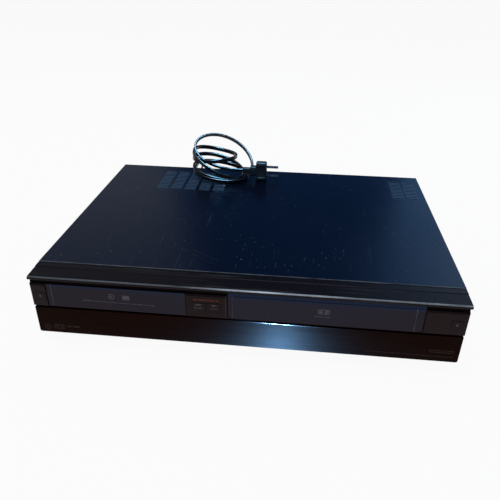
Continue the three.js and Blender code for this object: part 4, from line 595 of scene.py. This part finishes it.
# Dust and rubbing, together with the painted door highlights, lighten the plain plastic.
dust_rub_and_highlights = (dust * 0.7 + rub * 0.2 + painted_edge_highlights).mix(plain, (0.16, 0.17, 0.18))
dress(shader, place, {
    "Base Color": painted_nose_highlight.mix(dust_rub_and_highlights, (0.74, 0.86, 0.97)),
    "Roughness": 0.30 + 0.10 * grain + 0.12 * rub + 0.5 * hollow + 0.5 * door_top,
    "Specular IOR Level": 0.15, "Specular Tint": (1.0, 0.72, 0.78),
    "Normal": grain.bump(0.18, 0.05 * mm)})
bezel = refined("front_bezel", "front_moulding", 0.25, front_plastic, "front_moulding")

# Drop flap: a plate of brown-black anodised and brushed aluminium across the whole front, whose grain
# runs from end to end and draws every light into an upright streak.
brushed, shader, place = new_material("brushed_brown")
fine = place.stretched((22, 2600, 2600)).noise(1.0, 3.0)
coarse = place.stretched((5, 700, 700)).noise(1.0, 2.0)
nicks = (place.cells(210.0) < 0.06) * (place.noise(38.0) > 0.6)
flap_height = 32 * mm
low_edge = 1.0 - (place.axis(2) * (1 / flap_height) - 0.45)
grain = 0.6 * fine + 0.4 * coarse
dress(shader, place, {
    "Base Color": nicks.mix(grain.ramp(0.38, 0.66).mix((0.0028, 0.0004, 0.0001), (0.0120, 0.0018, 0.0004)),
                            (0.10, 0.10, 0.10)),
    "Roughness": 0.12 + 0.08 * grain + 0.05 * low_edge,
    "Specular IOR Level": 0.05, "Specular Tint": (1.0, 0.36, 0.18),
    "Anisotropic": 1.0, "Anisotropic Rotation": 0.25,
    "Normal": grain.bump(0.8, 0.04 * mm)})
flap = refined("front_flap", "brushed_flap", 0.35, brushed, "flap_face", 3)
shines_on(flap_slit, [flap])

# Hinge apron: a moulded sill behind the flap's lower edge, which closes the gap under its hinge when the
# flap hangs open. It is fixed to the front moulding, between the flap's two ears.
apron = solid_block("flap_apron", (-202.6, -155.6, 15.1), (202.6, -148.25, 16.1), 0.25)
carve(apron, [solid_block("apron_rib", (-201.5, -149.4, 15.4), (201.5, -148.27, 17.6), 0.2)], "UNION")
outward(apron)
finished(apron, front_plastic, "front_moulding", "chassis")

# Disc door and tape door: smooth brown-black mouldings with a crease near their ends. The disc door is
# clipped to the front of the tray, and the tape door hangs on pins at its upper edge.
doors = [refined(node, name, 0.3, front_plastic, "door_face", 3)
         for node, name in (("tray_door", "disc_door"), ("tape_door", "cassette_door"))]
shines_on(ceiling_strip, [bezel, *doors])
shines_on(door_slit, doors)

# Buttons: small caps of the same plastic as the front, which stand a touch proud of it. Each slides in its
# own opening and presses a switch on the board behind.
for node in ("power_button", "eject_button", "dub_to_disc_button", "dub_to_tape_button",
             "tray_key", "play_key", "stop_key", "record_key"):
    refined(node, node + "_cap", 0.3, front_plastic, "front_moulding", 3)


# Printed marks: thin pale screen print that stands a few hundredths of a millimetre off the fronts. Each
# is a plain pictogram or rule: a disc, a cassette, an arrow, a socket, and no words.
def screen_ink(name, patches, thin, full):
    """Ink that is thinner in patches, on a grain of its own."""
    material, shader, place = new_material(name)
    dress(shader, place, {
        "Base Color": place.noise(patches, 3.0).mix(thin, full),
        "Roughness": 0.5 + 0.2 * place.noise(1500.0), "Specular IOR Level": 0.1})
    return material


ink = screen_ink("pale_ink", 900.0, (0.16, 0.15, 0.16), (0.30, 0.29, 0.30))
dim_ink = screen_ink("dim_ink", 900.0, (0.040, 0.028, 0.024), (0.075, 0.056, 0.050))
orange_ink = screen_ink("orange_ink", 700.0, (0.32, 0.060, 0.026), (0.48, 0.095, 0.045))


def printed_ring(x, z, front, outer, inner, sides=32):
    """Only the rim of the ring stands out of the face: its middle lies below the surface."""
    rows = [(outer, -0.1), (outer, 0.05), (inner, 0.05), (inner, -0.05)]
    return turned("ring", rows, (x, front, z), (0, -1, 0), sides)


def printed_bar(x0, z0, x1, z1, front):
    return solid_block("bar", (x0, front - 0.05, z0), (x1, front + 0.1, z1))


def printed_frame(x0, z0, x1, z1, front, line=0.35):
    return [printed_bar(x0, z0, x1, z0 + line, front), printed_bar(x0, z1 - line, x1, z1, front),
            printed_bar(x0, z0 + line, x0 + line, z1 - line, front),
            printed_bar(x1 - line, z0 + line, x1, z1 - line, front)]


def printed_rule(x0, x1, z0, z1, front, height=0.5, dashes=12):
    """A rule in long and short dashes, from one height to another."""
    step, bars = (x1 - x0) / dashes, []
    for i in range(dashes):
        filled = 0.55 if i % 3 == 1 else 0.85
        low = z0 + (z1 - z0) * i / dashes
        bars.append(printed_bar(x0 + step * i, low, x0 + step * (i + filled), low + height, front))
    return bars


def print_marks(name, shapes, finish, body):
    finished(merged(name, shapes), finish, "front_moulding", body)


cap_y = -161.5
print_marks("disc_door_marks", [
    printed_ring(-130.6, 64.7, face_y, 3.1, 2.5), printed_ring(-130.6, 64.7, face_y, 0.9, 0.5),
    *printed_frame(-119.5, 61.8, -112.6, 66.8, face_y, 0.6), printed_bar(-118.3, 63.6, -113.8, 65.2, face_y),
    *printed_rule(-160.6, -87.2, 57.9, 56.9, face_y, 0.45, 34)], ink, "tray")
print_marks("cassette_door_marks", [
    *printed_frame(73.8, 61.6, 84.6, 66.8, face_y, 0.55), printed_ring(76.7, 64.2, face_y, 1.5, 0.8),
    printed_ring(81.7, 64.2, face_y, 1.5, 0.8), *printed_rule(70.6, 86.6, 58.2, 58.2, face_y, 0.5, 8)],
    ink, "tape_door")
print_marks("dubbing_rule", printed_rule(-48.2, -22.8, 67.9, 67.9, face_y, 0.8, 9), orange_ink, "chassis")
print_marks("dub_to_disc_marks", [
    *printed_frame(-46.2, 61.8, -40.2, 63.2, cap_y, 0.3),
    *printed_rule(-47.4, -39.2, 58.4, 58.4, cap_y, 0.5, 4),
    printed_ring(-43.2, 62.5, cap_y, 0.5, 0.2, 16)], ink, "dub_to_disc_button")
print_marks("dub_to_tape_marks", [
    printed_ring(-27.6, 62.6, cap_y, 1.0, 0.6), printed_bar(-30.6, 62.4, -28.9, 62.8, cap_y),
    printed_bar(-26.3, 62.4, -24.6, 62.8, cap_y), *printed_rule(-31.0, -24.2, 58.6, 58.6, cap_y, 0.5, 4)],
    ink, "dub_to_tape_button")
print_marks("power_mark", [printed_ring(-204.9, 59.8, cap_y, 0.95, 0.3)], ink, "power_button")
print_marks("eject_mark", [
    turned("arrow", [(1.1, -0.1), (1.1, 0.05)], (204.5, cap_y, 60.3), (0, -1, 0), 3),
    printed_bar(203.6, 58.6, 205.4, 59.0, cap_y)], ink, "eject_button")
print_marks("flap_marks", [
    printed_bar(185.6, 25.4, 206.4, 26.0, face_y), printed_bar(184.2, 27.6, 207.8, 28.2, face_y),
    printed_bar(184.2, 26.0, 184.9, 27.6, face_y), printed_bar(207.1, 26.0, 207.8, 27.6, face_y),
    *printed_rule(123.2, 208.2, 20.6, 20.1, face_y, 0.7, 40)], dim_ink, "drop_flap")
print_marks("flap_format_marks", [
    printed_ring(-204.3, 21.4, face_y, 3.2, 2.6), printed_ring(-204.3, 21.4, face_y, 1.0, 0.5),
    *printed_frame(-196.8, 19.4, -186.2, 25.0, face_y, 0.6), printed_ring(-193.9, 22.2, face_y, 1.4, 0.8),
    printed_ring(-189.1, 22.2, face_y, 1.4, 0.8), *printed_rule(-182.5, -168.8, 22.4, 22.4, face_y, 1.6, 5)],
    dim_ink, "drop_flap")

# Screws: blackened machine screws with a domed head and a cross recess. Four go through the folded edges
# of the cover into the pan, and two through its rear edge into the rear panel.
blackened, shader, place = new_material("blackened_screw")
dress(shader, place, {
    "Base Color": place.noise(900.0, 3.0).mix((0.02, 0.02, 0.022), (0.07, 0.07, 0.075)),
    "Metallic": 1.0, "Roughness": 0.32 + 0.2 * place.noise(1200.0, 3.0)})
screw_rows = [(1.6, -8), (1.6, -0.05), (1.9, 0), (3.4, 0), (3.5, 0.12), (3.45, 0.8), (3.2, 1.2), (2.7, 1.5),
              (1.9, 1.72), (1.0, 1.8)]
head_height, arm_reach, arm_half, recess_depth = 1.8, 1.9, 0.35, 1.1
screw_places = [(f"cover_screw_{side}_{end}", (x, y, 28), (x, 0, 0))
                for side, x in (("left", -215), ("right", 215))
                for end, y in (("front", -89.6), ("rear", 110.2))]
screw_places += [(f"rear_screw_{side}", (x, 154.2, 79), (0, 1, 0))
                 for side, x in (("left", -175), ("right", 175))]
for node, centre, axis in screw_places:
    axis, centre = Vector(axis).normalized(), Vector(centre)
    screw = turned(node + "_domed", screw_rows, centre, axis, 28)
    tip = centre + axis * head_height
    recess = []
    for arm in (Vector((0, 0, 1)), axis.cross(Vector((0, 0, 1)))):
        side_way = axis.cross(arm)
        reach = Vector([abs(arm[i]) * arm_reach + abs(side_way[i]) * arm_half + abs(axis[i]) * recess_depth
                        for i in range(3)])
        recess.append(solid_block("recess", tip - reach, tip + reach))
    carve(screw, recess)
    stand_for(screw, node, blackened, "screw_steel")

# Feet: round pads of hard rubber with a worn rim and a groove. A screw in the sunk hole in their middle
# holds each to the pan.
rubber, shader, place = new_material("foot_rubber")
dress(shader, place, {
    "Base Color": place.noise(120.0, 5.0).mix((0.012, 0.012, 0.012), (0.045, 0.043, 0.040)),
    "Roughness": 0.72 + 0.2 * place.noise(500.0, 3.0),
    "Normal": place.noise(2200.0, 3.0).bump(0.4, 0.08 * mm)})
foot_rows = [(15, 0), (15, 9.8), (14.6, 11.2), (13.5, 12), (11.6, 12), (11.2, 11.5), (10.6, 11.5), (10.2, 12),
             (5.2, 12), (4.6, 11.5), (4.4, 4), (1.6, 3.8)]
for side, x in (("left", -185), ("right", 185)):
    for end, y in (("front", -105.6), ("rear", 126.2)):
        foot = turned(f"pad_{side}_{end}", foot_rows, (x, y, 12), (0, 0, -1), 56)
        stand_for(foot, f"foot_{side}_{end}", rubber, "foot_rubber")

# Chassis pan: zinc-plated sheet with folded flanges, stand-offs for the boards and slots under the power
# board. The plating shows a faint spangle and is dull where it was handled.
zinc, shader, place = new_material("zinc_plate")
spangle = place.cells(140.0, "SMOOTH_F1")
dull = place.noise(16.0, 5.0).ramp(0.42, 0.68)
dress(shader, place, {
    "Base Color": dull.mix(spangle.mix((0.60, 0.61, 0.62), (0.47, 0.48, 0.50)), (0.40, 0.40, 0.39)),
    "Metallic": 1.0, "Roughness": 0.26 + 0.2 * dull + 0.12 * spangle,
    "Normal": place.noise(900.0, 3.0).bump(0.08, 0.08 * mm)})
refined("chassis_pan", "folded_pan", 0.2, zinc, "plated_steel")

# Rear panel: black-painted sheet between the pan and the cover, pierced for the fan, the jacks, the
# antenna sockets and the gland.
rear_paint, shader, place = new_material("rear_paint")
dress(shader, place, {
    "Base Color": place.noise(25.0, 4.0).mix((0.011, 0.011, 0.012), (0.019, 0.019, 0.021)),
    "Roughness": 0.42 + 0.12 * place.noise(700.0, 3.0),
    "Normal": place.noise(1800.0, 3.0).bump(0.3, 0.08 * mm)})
refined("rear_panel", "pierced_rear", 0.2, rear_paint, "rear_steel")

# Rear jacks: twelve phono jacks in one black block, which is soldered to the jack board. Each is a rolled
# nickel shell round a coloured insert of plastic.
moulded, shader, place = new_material("black_moulding")
dress(shader, place, {
    "Base Color": place.noise(70.0, 4.0).mix((0.010, 0.010, 0.011), (0.019, 0.019, 0.021)),
    "Roughness": 0.40 + 0.15 * place.noise(900.0, 3.0),
    "Normal": place.noise(2400.0, 2.0).bump(0.25, 0.06 * mm)})
jack_body = solid_block("jack_body", (8, 139.6, 21.9), (98, 151.6, 55.9), 0.5)
jack_columns, jack_pitch, first_jack, slit_width = 6, 15, 15.5, 0.6
jack_xs = [first_jack + jack_pitch * column for column in range(jack_columns)]
slits = [solid_block("slit", (x - slit_width / 2, 139, 21), (x + slit_width / 2, 145, 57)) for x in jack_xs]
carve(jack_body, slits)
stand_for(jack_body, "jack_block", moulded, "black_plastic")
shell_rows = [(4.1, -0.5), (4.1, 7.2), (3.95, 7.5), (3.6, 7.5), (3.5, 7.3), (3.5, 2)]
insert_rows = [(3.45, 1.9), (3.45, 5.7), (3.3, 5.9), (1.75, 5.9), (1.7, 3)]


def jacks(name, places, axis, shell_rows, insert_rows, insert_finish):
    """Nickel shells in one piece and their plastic inserts in another, which both stay with the chassis."""
    for part, rows, finish, slot in (("shells", shell_rows, nickel, "bright_steel"),
                                     ("inserts", insert_rows, insert_finish, "black_plastic")):
        piece = merged(f"{name}_{part}", [turned(part, rows, place, axis, 40) for place in places])
        finished(piece, finish, slot, "chassis")


def insert_plastic(name, left, width, colours):
    """Smooth plastic in plain colours, one for each column of jacks, from a left end on, in mm."""
    material, shader, place = new_material(name)
    stops = [(column / len(colours), colour) for column, colour in enumerate(colours)]
    across = (place.axis(0) - left * mm) * (1 / (width * mm))
    tint = place.node("ShaderNodeValToRGB", {"stops": stops}, {0: across})
    tint.socket.node.color_ramp.interpolation = "CONSTANT"
    dress(shader, place, {"Base Color": tint, "Roughness": 0.34 + 0.12 * place.noise(800.0)})
    return material


yellow, white, red, green, blue, black = ((0.55, 0.38, 0.02), (0.62, 0.62, 0.60), (0.40, 0.02, 0.02),
                                          (0.02, 0.22, 0.06), (0.02, 0.06, 0.34), (0.02, 0.02, 0.02))
jack_colours = insert_plastic("jack_colours", 8, 90, (yellow, white, red, green, blue, red))
jack_places = [(x, 151.6, z) for x in jack_xs for z in (30.4, 47.4)]
jacks("rear_jacks", jack_places, (0, 1, 0), shell_rows, insert_rows, jack_colours)

# Jack board: the green laminate behind the rear panel, with the tinned tuner can and the wide video
# socket. The two antenna sockets are threaded nickel sleeves with a white core.
laminate, shader, place = new_material("green_laminate")
tracks = place.stretched((1, 1, 0.01)).cells(120.0, "DISTANCE_TO_EDGE") < 0.055
pads = place.stretched((1, 1, 0.01)).cells(420.0) < 0.16
board_top = 21.75 * mm
above = place.axis(2) > board_top
tinned = above * (place.axis(1) > 80 * mm)
weave = place.stretched((1, 1, 1), (0, 0, 0.785)).noise(2200.0, 1.0)
board_green = tracks.mix((0.006, 0.050, 0.020), (0.016, 0.105, 0.040))
board_green = (pads * (place.noise(60.0) > 0.5)).mix(board_green, (0.50, 0.50, 0.48))
parts_tone = tinned.mix((0.016, 0.016, 0.018), (0.52, 0.53, 0.54))
dress(shader, place, {
    "Base Color": above.mix(board_green, parts_tone), "Metallic": tinned,
    "Roughness": 0.30 + 0.12 * weave + 0.14 * place.noise(300.0, 3.0),
    "Normal": (weave + tracks * 0.5).bump(0.2, 0.05 * mm)})
refined("jack_board", "jack_board_fitted", 0.15, laminate, "circuit_board")
thread = [(4.7 - 0.45 * (step % 2), 0.8 + 0.35 * step) for step in range(20)]
white_core, shader, place = new_material("white_core")
dress(shader, place, {
    "Base Color": place.noise(400.0, 3.0).mix((0.50, 0.49, 0.45), (0.66, 0.65, 0.62)),
    "Roughness": 0.42 + 0.1 * place.noise(900.0)})
jacks("antenna_sockets", [(169, 152.9, 30.1), (169, 152.9, 47.1)], (0, 1, 0),
      [(4.7, -0.8), *thread, (4.7, 8.6), (4.5, 9.05), (3.2, 9.05), (3.1, 4)],
      [(3.05, 3.8), (3.05, 8.2), (2.8, 8.4), (1.3, 8.4), (1.2, 5)], white_core)

# Display tube and front board: dark filter glass over the tube with a faint grid, and the laminate
# strip behind the front moulding with four input jacks.
glass, shader, place = new_material("display_glass")
rows_of_grid = place.node("ShaderNodeTexWave", {"bands_direction": "X"}, {
    "Vector": place, "Scale": 90.0, "Distortion": 0.0}, 1)
dress(shader, place, {
    "Base Color": (rows_of_grid * 0.6).mix((0.004, 0.012, 0.013), (0.010, 0.022, 0.024)),
    "Roughness": 0.05 + 0.06 * place.noise(60.0, 4.0), "Specular IOR Level": 0.6, "Coat Weight": 0.6})
refined("display_tube", "display_window", 0.4, glass, "display_glass", 3)
refined("front_board", "front_board_fitted", 0.15, laminate, "circuit_board")
front_colours = insert_plastic("front_jack_colours", 114, 64, (yellow, white, red, black))
jacks("front_jacks", [(x, -144, 30) for x in (122, 138, 154, 170)], (0, -1, 0),
      [(4.12, 0), (4.12, 6.8), (3.95, 7.05), (3.6, 7.05), (3.5, 6.8), (3.5, 2)],
      [(3.45, 1.9), (3.45, 5.9), (3.3, 6.1), (1.75, 6.1), (1.7, 3)], front_colours)

# Disc drive: a black moulded frame with the loading motor and its white gear at the front, the tray on
# ledges, and the lifting traverse of plated sheet with two ground rods.
refined("drive_frame", "drive_frame_moulding", 0.25, moulded, "black_plastic")
refined("disc_tray", "disc_tray_moulding", 0.3, moulded, "black_plastic", 3)
acetal, shader, place = new_material("white_acetal")
dress(shader, place, {
    "Base Color": place.noise(90.0, 4.0).mix((0.58, 0.57, 0.52), (0.68, 0.67, 0.63)),
    "Roughness": 0.38 + 0.12 * place.noise(600.0, 3.0),
    "Normal": place.noise(1500.0, 2.0).bump(0.15, 0.05 * mm)})
refined("tray_pinion", "tray_gear", 0.12, acetal, "gear_plastic")
machined, shader, place = new_material("machined_steel")
turning = place.stretched((500, 500, 9000)).noise(1.0, 2.0)
dress(shader, place, {
    "Base Color": turning.mix((0.50, 0.50, 0.51), (0.66, 0.66, 0.67)), "Metallic": 1.0,
    "Roughness": 0.18 + 0.16 * turning, "Normal": turning.bump(0.06, 0.04 * mm)})
motor = turned("loader_motor", [
    (2.6, 22.7), (2.8, 22.9), (9.2, 22.9), (10, 23.5), (10, 34.7), (9.7, 35.4), (9.2, 35.7), (3.1, 35.7),
    (2.9, 36.3), (1.1, 36.4), (1.1, 41), (3.9, 41), (4, 41.3), (2.9, 42.4), (2.9, 43.4), (4, 44.6), (3.9, 45)],
    (-141, -122, 0), (0, 0, 1), 48)
stand_for(motor, "loading_motor", machined, "motor_steel")
refined("traverse", "lifting_traverse", 0.2, zinc, "plated_steel")
for side, x in (("left", -152), ("right", -102)):
    rod = turned(f"guide_rod_{side}", [(1.1, 0), (1.5, 0.4), (1.5, 77.6), (1.1, 78)], (x, -75.7, 45.2),
                 (0, 1, 0), 32)
    stand_for(rod, f"sled_rod_{side}", machined, "bright_steel")
turntable = turned("disc_turntable", [
    (0.8, 42.5), (1, 42.7), (1, 46.3), (5, 46.3), (5, 49), (13.6, 49), (14, 49.3), (14, 50.7), (13.7, 51),
    (12.6, 51), (12.5, 50.8), (9.4, 50.8), (9.3, 51), (7.6, 51), (7.4, 51.1), (7.4, 53.2), (7.2, 53.9),
    (6.4, 54.5), (4.2, 54.5), (4, 54.1), (1.6, 54.1), (1.4, 54.5)], (-127, -83.7, 0), (0, 0, 1), 64)
stand_for(turntable, "turntable", moulded, "black_plastic")
refined("pickup_sled", "pickup_carriage", 0.2, moulded, "black_plastic")
lens_glass, shader, place = new_material("lens_glass")
dress(shader, place, {
    "Base Color": place.noise(500.0).mix((0.012, 0.014, 0.05), (0.03, 0.02, 0.07)),
    "Roughness": 0.03 + 0.03 * place.noise(200.0), "Coat Weight": 1.0})
lens = turned("pickup_lens", [(2.9, 49.4), (2.9, 50.05), (2.6, 50.3), (2.0, 50.5), (1.2, 50.65), (0.4, 50.7)],
              (-127, -59.7, 0), (0, 0, 1), 40)
finished(lens, lens_glass, "display_glass", "pickup_sled")
refined("disc_clamp", "disc_clamp_puck", 0.25, moulded, "black_plastic")

# Tape deck: plated sheet for the plate, the sides, the yoke and the holder. The drums are turned
# aluminium on an axis tilted by 5 degrees, the reel tables white acetal, the capstan a ground shaft on its
# flywheel, and the pinch roller a rubber tyre on its arm.
for node in ("deck_plate", "deck_side_left", "deck_side_right", "cassette_yoke", "cassette_holder"):
    refined(node, node + "_sheet", 0.15, zinc, "plated_steel")
for side in ("left", "right"):
    refined(f"reel_table_{side}", f"reel_spindle_{side}", 0.2, acetal, "gear_plastic")
aluminium, shader, place = new_material("turned_aluminium")
rings = place.stretched((300, 300, 16000)).noise(1.0, 2.0)
dress(shader, place, {
    "Base Color": rings.mix((0.62, 0.62, 0.63), (0.78, 0.78, 0.79)), "Metallic": 1.0,
    "Roughness": 0.14 + 0.14 * rings, "Normal": rings.bump(0.05, 0.03 * mm)})
refined("lower_drum", "lower_drum_turned", 0.2, aluminium, "drum_metal")
drum_foot, drum_axis = (80.05, 45, 36), (0, 0.08716, 0.99619)
head_drum = turned("head_drum_turned", [
    (2.4, 2.3), (2.5, 2.5), (2.5, 10.3), (30.4, 10.3), (31, 10.9), (31, 12), (30.8, 12.1), (30.8, 12.4),
    (31, 12.5), (31, 15), (30.8, 15.1), (30.8, 15.4), (31, 15.5), (31, 28.3), (30.4, 29.1), (30, 29.3),
    (22.2, 29.3), (22, 29.1), (22, 27.4), (21.8, 27.3), (12, 27.3), (11.8, 27.5), (11.8, 28.8), (11.4, 29.2),
    (4, 29.2), (3.8, 28)], drum_foot, drum_axis, 96)
stand_for(head_drum, "head_drum", aluminium, "drum_metal")
capstan = turned("capstan_and_flywheel", [
    (5, 18), (5.4, 18.2), (25.4, 18.2), (26, 18.8), (26, 20.2), (25.6, 20.4), (25.6, 21.6), (26, 21.8),
    (26, 23.4), (25.4, 24), (20.4, 24), (20, 23.6), (9, 23.6), (8.6, 24), (6, 24), (6, 27.5), (5.8, 27.7),
    (1.5, 27.7), (1.5, 55.1), (1.1, 55.5)], (138.05, 14, 0), (0, 0, 1), 72)
stand_for(capstan, "capstan_flywheel", machined, "bright_steel")
roller_rubber, shader, place = new_material("roller_rubber")
dress(shader, place, {
    "Base Color": place.noise(300.0, 4.0).mix((0.010, 0.010, 0.010), (0.032, 0.030, 0.029)),
    "Roughness": 0.62 + 0.2 * place.noise(900.0, 3.0)})
refined("pinch_roller", "pinch_roller_tyre", 0.3, roller_rubber, "roller_rubber")

# Electronics: the green main board under the drive, the tan power board with its heat sink, the
# transformer with its taped coil, and the main capacitor in its sleeve.
refined("main_board", "main_board_fitted", 0.12, laminate, "circuit_board")
tan_board, shader, place = new_material("tan_laminate")
above = place.axis(2) > board_top
fibres = place.stretched((40, 900, 40)).noise(1.0, 3.0)
dress(shader, place, {
    "Base Color": above.mix(fibres.mix((0.30, 0.17, 0.055), (0.44, 0.27, 0.10)), (0.50, 0.51, 0.52)),
    "Metallic": above, "Roughness": 0.36 + 0.2 * fibres, "Normal": fibres.bump(0.1, 0.05 * mm)})
refined("power_board", "power_board_fitted", 0.12, tan_board, "power_laminate")
winding, shader, place = new_material("core_and_winding")
supply_y = 93.95
off_core = place.off(1, supply_y) > 8.8 * mm
sheets = place.node("ShaderNodeTexWave", {"bands_direction": "Z"}, {
    "Vector": place, "Scale": 260.0, "Distortion": 0.3, "Detail": 2.0}, 1)
tape = place.noise(60.0, 3.0).mix((0.46, 0.27, 0.025), (0.58, 0.38, 0.05))
dress(shader, place, {
    "Base Color": off_core.mix(sheets.mix((0.10, 0.10, 0.105), (0.26, 0.26, 0.27)), tape),
    "Metallic": 0.7 - 0.7 * off_core, "Roughness": 0.34 + 0.16 * place.noise(500.0, 3.0),
    "Normal": sheets.bump(0.3, 0.1 * mm)})
refined("transformer", "wound_transformer", 0.3, winding, "winding")
sleeve, shader, place = new_material("capacitor_sleeve")
capacitor_x = -180
stripe = place.inside((capacitor_x, 83, 38), (2.2, 4, None))
vented = place.axis(2) > 55.3 * mm
sleeve_blue = place.noise(120.0, 3.0).mix((0.010, 0.020, 0.075), (0.016, 0.030, 0.105))
sleeve_tone = stripe.mix(sleeve_blue, (0.50, 0.50, 0.48))
dress(shader, place, {
    "Base Color": vented.mix(sleeve_tone, (0.55, 0.55, 0.56)), "Metallic": vented,
    "Roughness": 0.24 + 0.12 * place.noise(400.0, 3.0)})
capacitor = turned("sleeved_capacitor", [
    (10.6, 21.9), (11, 22.3), (11, 24.2), (10.5, 24.9), (10.5, 25.3), (11, 26), (11, 54.8), (10.5, 55.5),
    (9.6, 55.9), (9.2, 55.6), (9, 55.4)], (capacitor_x, supply_y, 0), (0, 0, 1), 56)
cross = [solid_block("vent", (capacitor_x - a, supply_y - b, 55.0), (capacitor_x + a, supply_y + b, 56.5))
         for a, b in ((6, 0.25), (0.25, 6))]
carve(capacitor, cross)
stand_for(capacitor, "main_capacitor", sleeve, "capacitor_sleeve")

# Fan: a square black frame screwed behind the rear grille, and its rotor of pitched blades, both moulded
# in black plastic. The rotor turns on the frame's middle.
refined("fan_frame", "fan_frame_moulding", 0.3, moulded, "black_plastic")
refined("fan_rotor", "fan_rotor_moulding", 0.15, moulded, "black_plastic")
